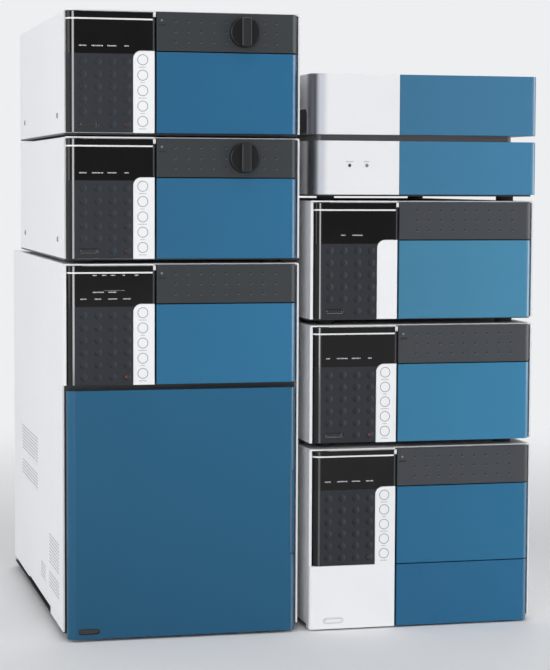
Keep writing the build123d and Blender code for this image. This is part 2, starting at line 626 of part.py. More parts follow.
def make_cover(name, panel_left, panel_bottom, full=False, slot=True):
    """Hinged key cover: flat face with key bumps, turned-in hinge edge, knuckles and pins."""
    height = PANEL_HEIGHT - FRAME_TOP - COVER_TOP_GAP
    low = panel_bottom + COVER_GAP
    high = panel_bottom + height
    x, y = cover_axis(panel_left)
    right = panel_left + BEZEL_WIDTH
    hollow = COVER_RADIUS - COVER_WALL
    with BuildPart() as cover:
        with BuildSketch(upright(COVER_WALL)):
            with Locations((x, low)):
                Rectangle(right - x, high - low, align=(Align.MIN, Align.MIN))
            with Locations((right, low)):
                Rectangle(BEZEL_WIDTH - ISLAND_LEFT + COVER_GAP, ISLAND_HEIGHT, align=(Align.MAX, Align.MIN),
                          mode=Mode.SUBTRACT)
            inside = vertices().sort_by_distance((right - BEZEL_WIDTH + ISLAND_LEFT, low + ISLAND_HEIGHT))[0]
            fillet(inside, ISLAND_CORNER)
        extrude(amount=COVER_WALL)
        fillet(edges().filter_by(Axis.Z).group_by(Axis.X)[-1].sort_by(Axis.Y)[0], COVER_EDGE_ROUND)
        with BuildSketch(Plane.XY.offset(low)):
            with Locations((x, y)):
                Circle(COVER_RADIUS)
                Circle(hollow, mode=Mode.SUBTRACT)
                Rectangle(COVER_RADIUS, COVER_RADIUS, align=(Align.MAX, Align.MAX), mode=Mode.INTERSECT)
        extrude(amount=high - low)
        for base in (low, high - CAP_THICKNESS):
            with BuildSketch(Plane.XY.offset(base)):
                with Locations((x, y)):
                    Circle(COVER_RADIUS)
                    Rectangle(COVER_RADIUS, COVER_RADIUS, align=(Align.MAX, Align.MAX), mode=Mode.INTERSECT)
            extrude(amount=CAP_THICKNESS)
        for knuckle in COVER_KNUCKLES:
            base = panel_bottom + knuckle
            with BuildSketch(Plane.XY.offset(base)):
                with Locations((x, y)):
                    Circle(hollow + COVER_WALL / 2)
                    Rectangle(COVER_RADIUS, COVER_RADIUS, align=(Align.MAX, Align.MAX), mode=Mode.INTERSECT)
                    Rectangle(KNUCKLE_REACH, hollow + COVER_WALL / 2, align=(Align.MIN, Align.MAX))
                    Circle(LUG_RADIUS)
            extrude(amount=KNUCKLE_THICKNESS)
            pin_low = base - 2 * LUG_GAP - LUG_THICKNESS
            rod(x, y, (pin_low, base), PIN_RADIUS)
        keys = key_places(panel_left, panel_bottom, full)
        with Locations(*[(key_x, FRONT, key_z) for key_x, key_z in keys]):
            dome(BUMP_RADIUS, BUMP_HEIGHT)
        tab_x = (right - TAB_LAP, right + TAB_REACH)
        block(tab_x, (FRONT - TAB_PROUD, FRONT + COVER_WALL), (high - TAB_HEIGHT, high))
        if slot:
            slot_x = panel_left + SLOT_X
            slot_z = panel_bottom + SLOT_Z
            obround(COVER_WALL, slot_x, slot_z, SLOT_LENGTH, SLOT_HEIGHT, COVER_WALL, Mode.SUBTRACT)
    save(cover, name)


# ---------------------------------------------------------------- doors, strips and panels
def moulded_front(left, right, low, high, radius=DOOR_RADIUS, depth=DOOR_DEPTH, open_left=False):
    """Hollow moulding on the front plane, its right-hand upright edge rounded, open at the back."""
    with BuildSketch(Plane.XY.offset(low)) as outside:
        with Locations((left, FRONT)):
            Rectangle(right - left, depth, align=(Align.MIN, Align.MIN))
        corner = vertices().group_by(Axis.X)[-1].sort_by(Axis.Y)[0]
        fillet(corner, radius)
    extrude(outside.sketch, amount=high - low)
    rims = edges().filter_by(lambda edge: abs(edge.center().Y - FRONT) < EDGE_TOUCH)
    level = rims.filter_by(Axis.X)
    fillet(level, DOOR_EDGE_ROUND)
    inner_left = left if open_left else left + DOOR_WALL
    with BuildSketch(Plane.XY.offset(low + DOOR_WALL)) as inside:
        with Locations((inner_left, FRONT + DOOR_WALL)):
            Rectangle(right - DOOR_WALL - inner_left, depth, align=(Align.MIN, Align.MIN))
        corner = vertices().group_by(Axis.X)[-1].sort_by(Axis.Y)[0]
        fillet(corner, radius - DOOR_WALL)
    extrude(inside.sketch, amount=high - low - 2 * DOOR_WALL, mode=Mode.SUBTRACT)


def bosses(places):
    """Posts from the back of a fixed front moulding to the bulkhead."""
    for x, z in places:
        rod(x, (FRONT + DOOR_WALL / 2, FRONT + BEZEL_DEPTH), z, BOSS_RADIUS)


def make_strip(name, panel_left, panel_bottom, knob=False, lamp=True):
    """Fixed dark strip above the door, with its dimples, lamp and knob hole."""
    left = panel_left + DOOR_LEFT
    right = panel_left + DOOR_RIGHT
    low = panel_bottom + STRIP_LOW
    high = panel_bottom + PANEL_HEIGHT - STRIP_TOP_GAP
    middle = (low + high) / 2
    rows = [low + DIMPLE_RISE + row * DIMPLE_PITCH_Z for row in range(DIMPLE_ROWS)]
    columns = [panel_left + DIMPLE_X + column * DIMPLE_PITCH_X for column in range(DIMPLE_COLUMNS)]
    with BuildPart() as strip:
        moulded_front(left, right, low, high)
        bosses([(left + BOSS_INSET, middle), (right - BOSS_INSET, middle)])
        with BuildSketch(upright(0)):
            with Locations(*[(x, z) for x in columns for z in rows]):
                Circle(DIMPLE_RADIUS)
        extrude(amount=-DIMPLE_DEPTH, mode=Mode.SUBTRACT)
        if lamp:
            lamp_y = (FRONT - LAMP_PROUD, FRONT + DOOR_WALL)
            rod(panel_left + LAMP_X, lamp_y, panel_bottom + LAMP_Z, LAMP_RADIUS)
        if knob:
            radius = KNOB_SHAFT_RADIUS + KNOB_SHAFT_CLEARANCE
            hole_y = (FRONT - DOOR_WALL, FRONT + 2 * DOOR_WALL)
            rod(panel_left + KNOB_X, hole_y, panel_bottom + KNOB_Z, radius, Mode.SUBTRACT)
    save(strip, name)


def make_door(name, panel_left, panel_bottom, low=0.0):
    """Blue door hinged behind its left edge on two lift-off pins."""
    left = panel_left + DOOR_LEFT
    right = panel_left + DOOR_RIGHT
    x, y = door_axis(panel_left)
    base = panel_bottom + low
    high = panel_bottom + DOOR_TOP
    with BuildPart() as door:
        moulded_front(left, right, base, high, open_left=True)
        clear_x = (left - DOOR_WALL, x - KNUCKLE_REACH)
        clear_y = (FRONT + DOOR_WALL, FRONT + BEZEL_DEPTH)
        block(clear_x, clear_y, (base - DOOR_WALL, high + DOOR_WALL), Mode.SUBTRACT)
        for knuckle in DOOR_KNUCKLES:
            foot = panel_bottom + knuckle
            web = (foot, foot + KNUCKLE_THICKNESS)
            block((x - LUG_RADIUS, x + KNUCKLE_REACH), (FRONT + DOOR_WALL / 2, y), web)
            rod(x, y, web, LUG_RADIUS)
            rod(x, y, (foot - 2 * LUG_GAP - LUG_THICKNESS, foot), PIN_RADIUS)
    save(door, name)


def make_fixed_panel(name, left, right, low, high, radius=DOOR_RADIUS):
    with BuildPart() as panel:
        moulded_front(left, right, low, high, radius)
        middle = (low + high) / 2
        bosses([(left + BOSS_INSET, middle), (right - BOSS_INSET, middle)])
    save(panel, name)


# ---------------------------------------------------------------- controls
def make_button(name, x, z, less, face, flange, tail):
    """Power button: rounded bar, less than its slot each way, with a flange that stops it behind its guide."""
    length = SLOT_LENGTH - less
    height = SLOT_HEIGHT - less
    with BuildPart() as button:
        obround(tail, x, z, length, height, tail - face)
        obround(flange + FLANGE_THICKNESS, x, z, length + 2 * BUTTON_FLANGE, height + 2 * BUTTON_FLANGE,
                FLANGE_THICKNESS)
    save(button, name)


def make_bezel_button(name, x, z, face):
    flange = SHELF_BACK + BEZEL_WALL + FLANGE_GAP
    make_button(name, x, z, BUTTON_FLANGE, face, flange, flange + FLANGE_THICKNESS)


def make_knob(name, panel_left, panel_bottom):
    """Purge knob: round skirt, upright grip bar and valve shaft."""
    x = panel_left + KNOB_X
    z = panel_bottom + KNOB_Z
    with BuildPart() as knob:
        rod(x, (FRONT - KNOB_GAP - KNOB_DISC, FRONT - KNOB_GAP), z, KNOB_RADIUS)
        fillet(edges().filter_by(GeomType.CIRCLE).sort_by(Axis.Y)[0], KNOB_ROUND)
        with BuildSketch(upright(-KNOB_GAP - KNOB_DISC / 2)):
            with Locations((x, z)):
                Circle(KNOB_RADIUS - KNOB_ROUND / 2)
                Rectangle(KNOB_GRIP_WIDTH, 2 * KNOB_RADIUS, mode=Mode.INTERSECT)
        extrude(amount=KNOB_PROUD - KNOB_GAP - KNOB_DISC / 2)
        fillet(edges().group_by(Axis.Y)[0], KNOB_ROUND)
        rod(x, (FRONT - KNOB_DISC, FRONT + KNOB_SHAFT_LENGTH), z, KNOB_SHAFT_RADIUS)
    save(knob, name)


# ---------------------------------------------------------------- behind the doors
def compartment_middle(panel_left, right):
    return (panel_left + COMPARTMENT_LEFT + right - CASE_WALL) / 2


def make_pump_heads(name, middle, panel_bottoms):
    """Twin plunger heads of both pumps, each pair with its check valves on one mounting plate."""
    back = FRONT + COMPARTMENT_DEPTH
    half = HEAD_PLATE_WIDTH / 2
    plate_back = back - HEAD_PLATE_THICKNESS
    with BuildPart() as heads:
        for panel_bottom in panel_bottoms:
            z = panel_bottom + HEAD_HEIGHT
            plate_z = (z - HEAD_PLATE_HEIGHT / 2, z + HEAD_PLATE_HEIGHT / 2)
            block((middle - half, middle + half), (plate_back, back), plate_z)
            for side in (-1, 1):
                x = middle + side * HEAD_SPACING / 2
                rod(x, (plate_back - HEAD_LENGTH, plate_back), z, HEAD_RADIUS)
                y = plate_back - HEAD_LENGTH / 2
                rod(x, y, (z, z + HEAD_RADIUS + VALVE_LENGTH), VALVE_RADIUS)
                rod(x, y, (z - HEAD_RADIUS - VALVE_LENGTH, z), VALVE_RADIUS)
        fillet(edges().filter_by(GeomType.CIRCLE).group_by(Axis.Y)[0], KNOB_ROUND)
    save(heads, name)


def make_flow_cell(name, panel_left, right, panel_bottom):
    """Detector flow-cell block with the lamp house beside it."""
    middle = compartment_middle(panel_left, right)
    back = FRONT + COMPARTMENT_DEPTH
    z = panel_bottom + HEAD_HEIGHT
    cell_left = middle - COMPARTMENT_WIDTH / 2 + CELL_MARGIN
    cell_right = cell_left + CELL_WIDTH
    lamp_x = cell_right + LAMP_HOUSE_RADIUS - CELL_LAP
    with BuildPart() as cell:
        block((cell_left, cell_right), (back - CELL_DEPTH, back), (z - CELL_HEIGHT / 2, z + CELL_HEIGHT / 2))
        rod(lamp_x, (back - LAMP_HOUSE_LENGTH, back), z, LAMP_HOUSE_RADIUS)
        rod(cell_left + CELL_WIDTH / 2, (back - CELL_DEPTH - VALVE_RADIUS, back - CELL_DEPTH), z, VALVE_RADIUS)
        fillet(edges().filter_by(GeomType.CIRCLE).group_by(Axis.Y)[0], KNOB_ROUND)
    save(cell, name)


def column_place(panel_left, right, panel_bottom):
    """Middle of the chromatography column's axis."""
    y = FRONT + COMPARTMENT_DEPTH - HEATER_DEPTH - CLIP_REACH
    return compartment_middle(panel_left, right), y, panel_bottom + HEAD_HEIGHT


def make_heater_block(name, panel_left, right, panel_bottom):
    """Heater plate on the oven's back wall, with two open clips for the column."""
    x, y, z = column_place(panel_left, right, panel_bottom)
    back = FRONT + COMPARTMENT_DEPTH
    half = HEATER_WIDTH / 2
    bore = COLUMN_RADIUS + COLUMN_CLEARANCE
    with BuildPart() as heater:
        plate = (back - HEATER_DEPTH, back)
        block((x - half, x + half), plate, (z - HEATER_HEIGHT / 2, z + HEATER_HEIGHT / 2))
        for side in (-1, 1):
            clip = x + side * CLIP_SPACING / 2
            clip_x = (clip - CLIP_WIDTH / 2, clip + CLIP_WIDTH / 2)
            rod(clip_x, y, z, CLIP_RADIUS)
            block(clip_x, (y, plate[0]), (z - CLIP_RADIUS / 2, z + CLIP_RADIUS / 2))
            rod(clip_x, y, z, bore, Mode.SUBTRACT)
            mouth = (y - CLIP_RADIUS * 2, y)
            block(clip_x, mouth, (z - CLIP_OPENING / 2, z + CLIP_OPENING / 2), Mode.SUBTRACT)
    save(heater, name)


def make_column(name, panel_left, right, panel_bottom):
    """Steel chromatography column with its end nuts."""
    x, y, z = column_place(panel_left, right, panel_bottom)
    half = COLUMN_LENGTH / 2
    with BuildPart() as column:
        rod((x - half, x + half), y, z, COLUMN_RADIUS)
        for end in (x - half - COLUMN_NUT_LENGTH, x + half):
            with BuildSketch(Plane.YZ.offset(end)):
                with Locations((y, z)):
                    RegularPolygon(COLUMN_NUT_RADIUS, 6)
            extrude(amount=COLUMN_NUT_LENGTH)
    save(column, name)


# ---------------------------------------------------------------- autosampler
def make_sampler_case(name):
    left = LEFT_STACK
    right = left + MODULE_WIDTH
    bottom = SAMPLER_BOTTOM + SAMPLER_LIFT
    with BuildPart() as case:
        folded_cover(left, right, bottom, SAMPLER_TOP, FRONT + SAMPLER_DEPTH)
        for front, rear, low, high in PATCHES:
            patch_x = (left - CASE_WALL, left + PATCH_DEPTH)
            block(patch_x, (FRONT + front, FRONT + rear), (low, high), Mode.SUBTRACT)
        notch = (FRONT + NOTCH_FRONT, FRONT + NOTCH_BACK)
        tail = (FRONT + NOTCH_BACK, FRONT + SAMPLER_DEPTH - CASE_WALL)
        for wall in ((left - CASE_WALL, left + CASE_WALL), (right - CASE_WALL, right + CASE_WALL)):
            block(wall, notch, (bottom - CASE_WALL, bottom + NOTCH_RISE), Mode.SUBTRACT)
            block(wall, tail, (bottom - CASE_WALL, bottom + TAIL_RISE), Mode.SUBTRACT)
    save(case, name)


def sampler_lugs(panel_left):
    """Lugs on the autosampler's front frame that carry the big door."""
    x, y = cover_axis(panel_left)
    for knuckle in SAMPLER_KNUCKLES:
        z = (SAMPLER_BOTTOM + knuckle - LUG_GAP - LUG_THICKNESS, SAMPLER_BOTTOM + knuckle - LUG_GAP)
        block((x + LUG_CLEAR, x + LUG_REACH), (y - LUG_RADIUS, FRONT + BEZEL_DEPTH), z)
        block((x, x + LUG_CLEAR), (y - LUG_RADIUS, y + LUG_RADIUS), z)
        rod(x, y, z, LUG_RADIUS)
        rod(x, y, z, PIN_RADIUS + PIN_CLEARANCE, Mode.SUBTRACT)


def make_sampler_chassis(name, panel_left):
    """Pan, front frame, sample chamber walls, needle rail and upper bulkhead."""
    left = LEFT_STACK
    right = left + MODULE_WIDTH
    inner = CASE_WALL + FIT
    bottom = SAMPLER_BOTTOM + SAMPLER_LIFT
    back = FRONT + SAMPLER_DEPTH
    frame_y = (FRONT + BEZEL_DEPTH, FRONT + BEZEL_DEPTH + SHEET)
    wall_x = (left + inner, right - inner)
    with BuildPart() as chassis:
        pan(left, right, bottom, back)
        bulkhead(left, right, bottom, SAMPLER_TOP)
        window = (left + CHAMBER_FRAME, right - CHAMBER_FRAME / 2)
        window_z = (bottom + CHAMBER_FRAME, CHAMBER_TOP - CHAMBER_FRAME / 2)
        block(window, (FRONT, FRONT + BEZEL_DEPTH + 2 * SHEET), window_z, Mode.SUBTRACT)
        block(wall_x, (frame_y[1], FRONT + CHAMBER_DEPTH), (CHAMBER_TOP, CHAMBER_TOP + SHEET))
        block(wall_x, (FRONT + CHAMBER_DEPTH, FRONT + CHAMBER_DEPTH + SHEET), (bottom, CHAMBER_TOP + SHEET))
        rail_y = (FRONT + RAIL_BEHIND, FRONT + RAIL_BEHIND + RAIL_SIZE)
        rail_z = (RAIL_HEIGHT, RAIL_HEIGHT + RAIL_SIZE)
        block(wall_x, rail_y, rail_z)
        for end in (wall_x[0], wall_x[1] - SHEET):
            block((end, end + SHEET), (rail_y[0], FRONT + CHAMBER_DEPTH), (RAIL_HEIGHT, CHAMBER_TOP))
        sampler_lugs(panel_left)
    save(chassis, name)


def make_sampler_door(name, panel_left):
    """Tall door with a turned-in hinge edge, a power-button slot and a grip scooped from its free edge."""
    low = SAMPLER_BOTTOM
    high = low + SAMPLER_DOOR_HEIGHT
    right = panel_left + DOOR_RIGHT
    x, y = cover_axis(panel_left)
    hollow = COVER_RADIUS - DOOR_WALL
    with BuildPart() as door:
        moulded_front(x, right, low, high, open_left=True)
        hinge_x = (x - DOOR_WALL, x + COVER_RADIUS)
        block(hinge_x, (FRONT + DOOR_WALL, FRONT + BEZEL_DEPTH), (low, high), Mode.SUBTRACT)
        with BuildSketch(Plane.XY.offset(low)):
            with Locations((x, y)):
                Circle(COVER_RADIUS)
                Circle(hollow, mode=Mode.SUBTRACT)
                Rectangle(COVER_RADIUS, COVER_RADIUS, align=(Align.MAX, Align.MAX), mode=Mode.INTERSECT)
        extrude(amount=high - low)
        for base in (low, high - DOOR_WALL):
            with BuildSketch(Plane.XY.offset(base)):
                with Locations((x, y)):
                    Circle(COVER_RADIUS)
                    Rectangle(COVER_RADIUS, COVER_RADIUS, align=(Align.MAX, Align.MAX), mode=Mode.INTERSECT)
            extrude(amount=DOOR_WALL)
        for knuckle in SAMPLER_KNUCKLES:
            base = low + knuckle
            with BuildSketch(Plane.XY.offset(base)):
                with Locations((x, y)):
                    Circle(hollow + DOOR_WALL / 2)
                    Rectangle(COVER_RADIUS, COVER_RADIUS, align=(Align.MAX, Align.MAX), mode=Mode.INTERSECT)
                    Rectangle(KNUCKLE_REACH, hollow + DOOR_WALL / 2, align=(Align.MIN, Align.MAX))
                    Circle(LUG_RADIUS)
            extrude(amount=KNUCKLE_THICKNESS)
            rod(x, y, (base - 2 * LUG_GAP - LUG_THICKNESS, base), PIN_RADIUS)
        obround(DOOR_WALL, panel_left + SAMPLER_SLOT_X, low + SAMPLER_SLOT_Z, SLOT_LENGTH, SLOT_HEIGHT, DOOR_WALL,
                Mode.SUBTRACT)
        back = FRONT + DOOR_DEPTH
        grip_wall = (FRONT + GRIP_DEPTH, back)
        grip_x = (right - GRIP_WIDTH - DOOR_WALL, right - DOOR_WALL / 2)
        block(grip_x, grip_wall, (GRIP_LOW - DOOR_WALL, GRIP_HIGH + DOOR_WALL))
        with BuildSketch(Plane.XZ.offset(-(FRONT + GRIP_DEPTH))):
            with Locations((right, (GRIP_LOW + GRIP_HIGH) / 2)):
                Rectangle(GRIP_WIDTH, GRIP_HIGH - GRIP_LOW, align=(Align.MAX, Align.CENTER))
            fillet(vertices().group_by(Axis.X)[0], GRIP_WIDTH / 2)
        extrude(amount=GRIP_DEPTH, mode=Mode.SUBTRACT)
    save(door, name)


def make_sample_rack(name):
    """Plate tray with its two bays, on a lift plate."""
    x = LEFT_STACK + MODULE_WIDTH / 2
    y = FRONT + BEZEL_DEPTH + RACK_BACK_OFFSET + RACK_DEPTH / 2
    floor = SAMPLER_BOTTOM + SAMPLER_LIFT
    high = floor + RACK_LIFT + RACK_HEIGHT
    half_x = RACK_WIDTH / 2
    half_y = RACK_DEPTH / 2
    with BuildPart() as rack:
        block((x - half_x, x + half_x), (y - half_y, y + half_y), (floor + RACK_LIFT, high))
        foot_x = (x - half_x + RACK_LIFT, x + half_x - RACK_LIFT)
        block(foot_x, (y - half_y + RACK_LIFT, y + half_y - RACK_LIFT), (floor, floor + RACK_LIFT))
        with BuildSketch(Plane.XY.offset(high - BAY_DEPTH)):
            with Locations((x, y)):
                with GridLocations(BAY_PITCH, BAY_LENGTH, BAY_COUNT, 1):
                    RectangleRounded(BAY_WIDTH, BAY_LENGTH, BAY_CORNER)
        extrude(amount=BAY_DEPTH, mode=Mode.SUBTRACT)
    save(rack, name)


def make_needle_arm(name):
    """Carriage on the rail with the injection needle on its arm."""
    x = LEFT_STACK + ARM_START + CARRIAGE_SIZE / 2
    y = FRONT + RAIL_BEHIND + RAIL_SIZE / 2
    z = RAIL_HEIGHT + RAIL_SIZE / 2
    half = CARRIAGE_SIZE / 2
    bore = RAIL_SIZE / 2 + CARRIAGE_GAP
    tip_y = y - half - ARM_LENGTH
    with BuildPart() as arm:
        block((x - half, x + half), (y - half, y + half), (z - half, z + half))
        block((x - half, x + half), (y - bore, y + bore), (z - bore, z + bore), Mode.SUBTRACT)
        arm_z = (z - half, z - half + ARM_HEIGHT)
        block((x - ARM_WIDTH / 2, x + ARM_WIDTH / 2), (tip_y, y - half), arm_z)
        needle_y = tip_y + ARM_WIDTH / 2
        rod(x, needle_y, (arm_z[0] - NEEDLE_HUB_LENGTH, arm_z[0]), NEEDLE_HUB_RADIUS)
        rod(x, needle_y, (arm_z[0] - NEEDLE_HUB_LENGTH - NEEDLE_LENGTH, arm_z[0]), NEEDLE_RADIUS)
    save(arm, name)


# ---------------------------------------------------------------- degasser and reservoir tray
def low_body(left, bottom, height, back):
    """White outer form of the two low modules: full front at the left, set back behind the blue panel."""
    right = left + MODULE_WIDTH
    with BuildSketch(Plane.XY.offset(bottom)) as outline:
        with Locations((left, FRONT)):
            Rectangle(MODULE_WIDTH, back - FRONT, align=(Align.MIN, Align.MIN))
        fillet(vertices().group_by(Axis.Y)[0].sort_by(Axis.X)[0], TRAY_CORNER)
        fillet(vertices().group_by(Axis.Y)[-1], TRAY_REAR_CORNER)
    extrude(outline.sketch, amount=height)
    panel_x = (left + WHITE_WIDTH, right + CASE_WALL)
    block(panel_x, (FRONT - CASE_WALL, FRONT + CASE_EDGE), (bottom, bottom + height), Mode.SUBTRACT)


def low_hollow(left, low, high, back):
    """Inside of a low body, walls of equal thickness."""
    wall = TRAY_WALL
    right = left + MODULE_WIDTH
    white = left + WHITE_WIDTH
    with BuildSketch(Plane.XY.offset(low)) as inside:
        with Locations((left + wall, FRONT + wall)):
            Rectangle(white - left - 2 * wall, back - FRONT - 2 * wall, align=(Align.MIN, Align.MIN))
        fillet(vertices().group_by(Axis.Y)[0].sort_by(Axis.X)[0], TRAY_CORNER - wall)
        with Locations((left + wall, FRONT + CASE_EDGE + wall)):
            Rectangle(MODULE_WIDTH - 2 * wall, back - FRONT - CASE_EDGE - 2 * wall, align=(Align.MIN, Align.MIN))
    extrude(inside.sketch, amount=high - low, mode=Mode.SUBTRACT)


def make_tray_body(name):
    """Open-topped tray that holds the solvent bottles."""
    back = FRONT + MODULE_DEPTH
    high = TRAY_BOTTOM + TRAY_HEIGHT
    with BuildPart() as tray:
        low_body(RIGHT_STACK, TRAY_BOTTOM, TRAY_HEIGHT, back)
        low_hollow(RIGHT_STACK, TRAY_BOTTOM + TRAY_WALL, high, back)
        for wall in (RIGHT_STACK, RIGHT_STACK + MODULE_WIDTH - TRAY_WALL):
            with BuildSketch(Plane.YZ.offset(wall)):
                with Locations((FRONT + HAND_NOTCH_FRONT + HAND_NOTCH_WIDTH / 2, TRAY_BOTTOM)):
                    Rectangle(HAND_NOTCH_WIDTH, 2 * HAND_NOTCH_HEIGHT)
                fillet(vertices(), HAND_NOTCH_CORNER)
            extrude(amount=TRAY_WALL, mode=Mode.SUBTRACT)
    save(tray, name)


def make_degasser_case(name):
    """Degasser cover, open below, with its two lamps."""
    back = FRONT + MODULE_DEPTH
    high = DEGASSER_BOTTOM + DEGASSER_HEIGHT
    with BuildPart() as case:
        low_body(RIGHT_STACK, DEGASSER_BOTTOM, DEGASSER_HEIGHT, back)
        low_hollow(RIGHT_STACK, DEGASSER_BOTTOM, high - TRAY_WALL, back)
        rear_openings(RIGHT_STACK, RIGHT_STACK + MODULE_WIDTH, DEGASSER_BOTTOM, high, back)
        for x in LED_X:
            rod(RIGHT_STACK + x, (FRONT - LED_PROUD, FRONT + TRAY_WALL), DEGASSER_BOTTOM + LED_Z, LED_RADIUS)
    save(case, name)


def make_low_panel(name, bottom, height):
    """Blue half of a low front, wrapped round the right-hand corner."""
    left = RIGHT_STACK + WHITE_WIDTH + PANEL_BUTT
    right = RIGHT_STACK + MODULE_WIDTH
    middle = bottom + height / 2
    with BuildPart() as panel:
        moulded_front(left, right, bottom, bottom + height)
        for x in (left + BOSS_INSET, right - BOSS_INSET):
            rod(x, (FRONT + DOOR_WALL / 2, FRONT + CASE_EDGE), middle, BOSS_RADIUS)
    save(panel, name)


def make_degasser_chassis(name):
    with BuildPart() as chassis:
        pan(RIGHT_STACK, RIGHT_STACK + MODULE_WIDTH, DEGASSER_BOTTOM, FRONT + MODULE_DEPTH)
    save(chassis, name)


def make_tray_base(name):
    """Recessed plinth between the tray and the degasser."""
    x = (RIGHT_STACK + BASE_LEFT, RIGHT_STACK + MODULE_WIDTH - BASE_RIGHT)
    y = (FRONT + BASE_FRONT, FRONT + MODULE_DEPTH - BASE_BACK)
    with BuildPart() as base:
        block(x, y, (DEGASSER_TOP, TRAY_BOTTOM))
        fillet(edges().filter_by(Axis.Z), BASE_CORNER)
    save(base, name)


# ---------------------------------------------------------------- feet
def make_feet(name, stands):
    """Rubber feet, four under each module that stands on another or on the floor."""
    with BuildPart() as feet:
        for left, right, low, high, depth in stands:
            for x in (left + FOOT_SIDE_INSET, right - FOOT_SIDE_INSET):
                for y in (FRONT + FOOT_FRONT_INSET, FRONT + depth - FOOT_BACK_INSET):
                    rod(x, y, (low, high), FOOT_RADIUS)
    save(feet, name)


# ---------------------------------------------------------------- build: the two pumps
for number, bottom in ((1, PUMP_1_BOTTOM), (2, PUMP_2_BOTTOM)):
    module = f"pump_{number}"
    panel = PUMP_LEFT + PUMP_MARGIN
    pump_right = PUMP_LEFT + PUMP_WIDTH
    make_case(f"{module}_case", PUMP_LEFT, PUMP_WIDTH, bottom, PANEL_HEIGHT, MODULE_DEPTH)
    make_chassis(f"{module}_chassis", PUMP_LEFT, PUMP_WIDTH, panel, bottom, PANEL_HEIGHT, valve=True)
    make_bezel(f"{module}_bezel", PUMP_LEFT, panel, bottom, PANEL_HEIGHT)
    make_cover(f"{module}_key_cover", panel, bottom)
    make_strip(f"{module}_vent_strip", panel, bottom, knob=True)
    make_door(f"{module}_door", panel, bottom)
    make_bezel_button(f"{module}_power_button", panel + SLOT_X, bottom + SLOT_Z, COVER_WALL + BUTTON_RECESS)
    make_knob(f"{module}_purge_knob", panel, bottom)

make_pump_heads("pump_heads", compartment_middle(panel, pump_right), (PUMP_1_BOTTOM, PUMP_2_BOTTOM))

# ---------------------------------------------------------------- build: autosampler
sampler_panel = LEFT_STACK + FRAME_MARGIN
make_sampler_case("autosampler_case")
make_sampler_chassis("autosampler_chassis", sampler_panel)
make_bezel("autosampler_bezel", LEFT_STACK, sampler_panel, SAMPLER_PANEL, PANEL_HEIGHT, full=True, button=False)
make_cover("autosampler_key_cover", sampler_panel, SAMPLER_PANEL, full=True, slot=False)
make_strip("autosampler_vent_strip", sampler_panel, SAMPLER_PANEL)
upper_x = (sampler_panel + DOOR_LEFT, sampler_panel + DOOR_RIGHT)
make_fixed_panel("autosampler_upper_panel", *upper_x, SAMPLER_PANEL, SAMPLER_PANEL + DOOR_TOP)
make_sampler_door("autosampler_door", sampler_panel)
make_button("autosampler_power_button", sampler_panel + SAMPLER_SLOT_X, SAMPLER_BOTTOM + SAMPLER_SLOT_Z,
            2 * BUTTON_CLEARANCE, BUTTON_RECESS, DOOR_WALL + FLANGE_GAP, DOOR_DEPTH)
make_sample_rack("autosampler_sample_rack")
make_needle_arm("autosampler_needle_arm")

# ---------------------------------------------------------------- build: column oven, detector, controller
right_panel = RIGHT_STACK + FRAME_MARGIN
right_edge = RIGHT_STACK + MODULE_WIDTH
panel_x = (right_panel + DOOR_LEFT, right_panel + DOOR_RIGHT)
oven_height = OVEN_SKIRT + PANEL_HEIGHT

with BuildPart() as oven_case:
    folded_cover(RIGHT_STACK, right_edge, OVEN_BOTTOM + OVEN_LIFT, OVEN_TOP, FRONT + MODULE_DEPTH)
save(oven_case, "oven_case")
make_chassis("oven_chassis", RIGHT_STACK, MODULE_WIDTH, right_panel, OVEN_BOTTOM, oven_height, OVEN_LIFT, OVEN_SKIRT)
make_bezel("oven_bezel", RIGHT_STACK, right_panel, OVEN_BOTTOM, oven_height, OVEN_SKIRT, OVEN_LIFT)
make_cover("oven_key_cover", right_panel, OVEN_PANEL, full=True, slot=False)
make_strip("oven_vent_strip", right_panel, OVEN_PANEL)
make_door("oven_door", right_panel, OVEN_PANEL)
make_fixed_panel("oven_lower_panel", *panel_x, OVEN_BOTTOM, OVEN_PANEL - DOOR_SEAM)
make_bezel_button("oven_power_button", right_panel + SLOT_X, OVEN_BOTTOM + OVEN_BUTTON_Z, -OVEN_BUTTON_PROUD)
make_heater_block("oven_heater_block", right_panel, right_edge, OVEN_PANEL)
make_column("oven_column", right_panel, right_edge, OVEN_PANEL)

for module, bottom, hinged in (("detector", DETECTOR_BOTTOM, True), ("controller", CONTROLLER_BOTTOM, False)):
    make_case(f"{module}_case", RIGHT_STACK, MODULE_WIDTH, bottom, PANEL_HEIGHT, MODULE_DEPTH)
    make_chassis(f"{module}_chassis", RIGHT_STACK, MODULE_WIDTH, right_panel, bottom, PANEL_HEIGHT, door=hinged)
    make_bezel(f"{module}_bezel", RIGHT_STACK, right_panel, bottom, PANEL_HEIGHT, keys=hinged)
    make_cover(f"{module}_key_cover", right_panel, bottom)
    make_strip(f"{module}_vent_strip", right_panel, bottom, lamp=hinged)
    make_bezel_button(f"{module}_power_button", right_panel + SLOT_X, bottom + SLOT_Z, COVER_WALL + BUTTON_RECESS)
make_door("detector_door", right_panel, DETECTOR_BOTTOM)
make_flow_cell("detector_flow_cell", right_panel, right_edge, DETECTOR_BOTTOM)
make_fixed_panel("controller_panel", *panel_x, CONTROLLER_BOTTOM, CONTROLLER_BOTTOM + DOOR_TOP)

# ---------------------------------------------------------------- build: degasser, tray, feet
make_degasser_case("degasser_case")
make_degasser_chassis("degasser_chassis")
make_low_panel("degasser_panel", DEGASSER_BOTTOM, DEGASSER_HEIGHT)
make_tray_body("tray_body")
make_tray_base("tray_base")
make_low_panel("tray_panel", TRAY_BOTTOM, TRAY_HEIGHT)

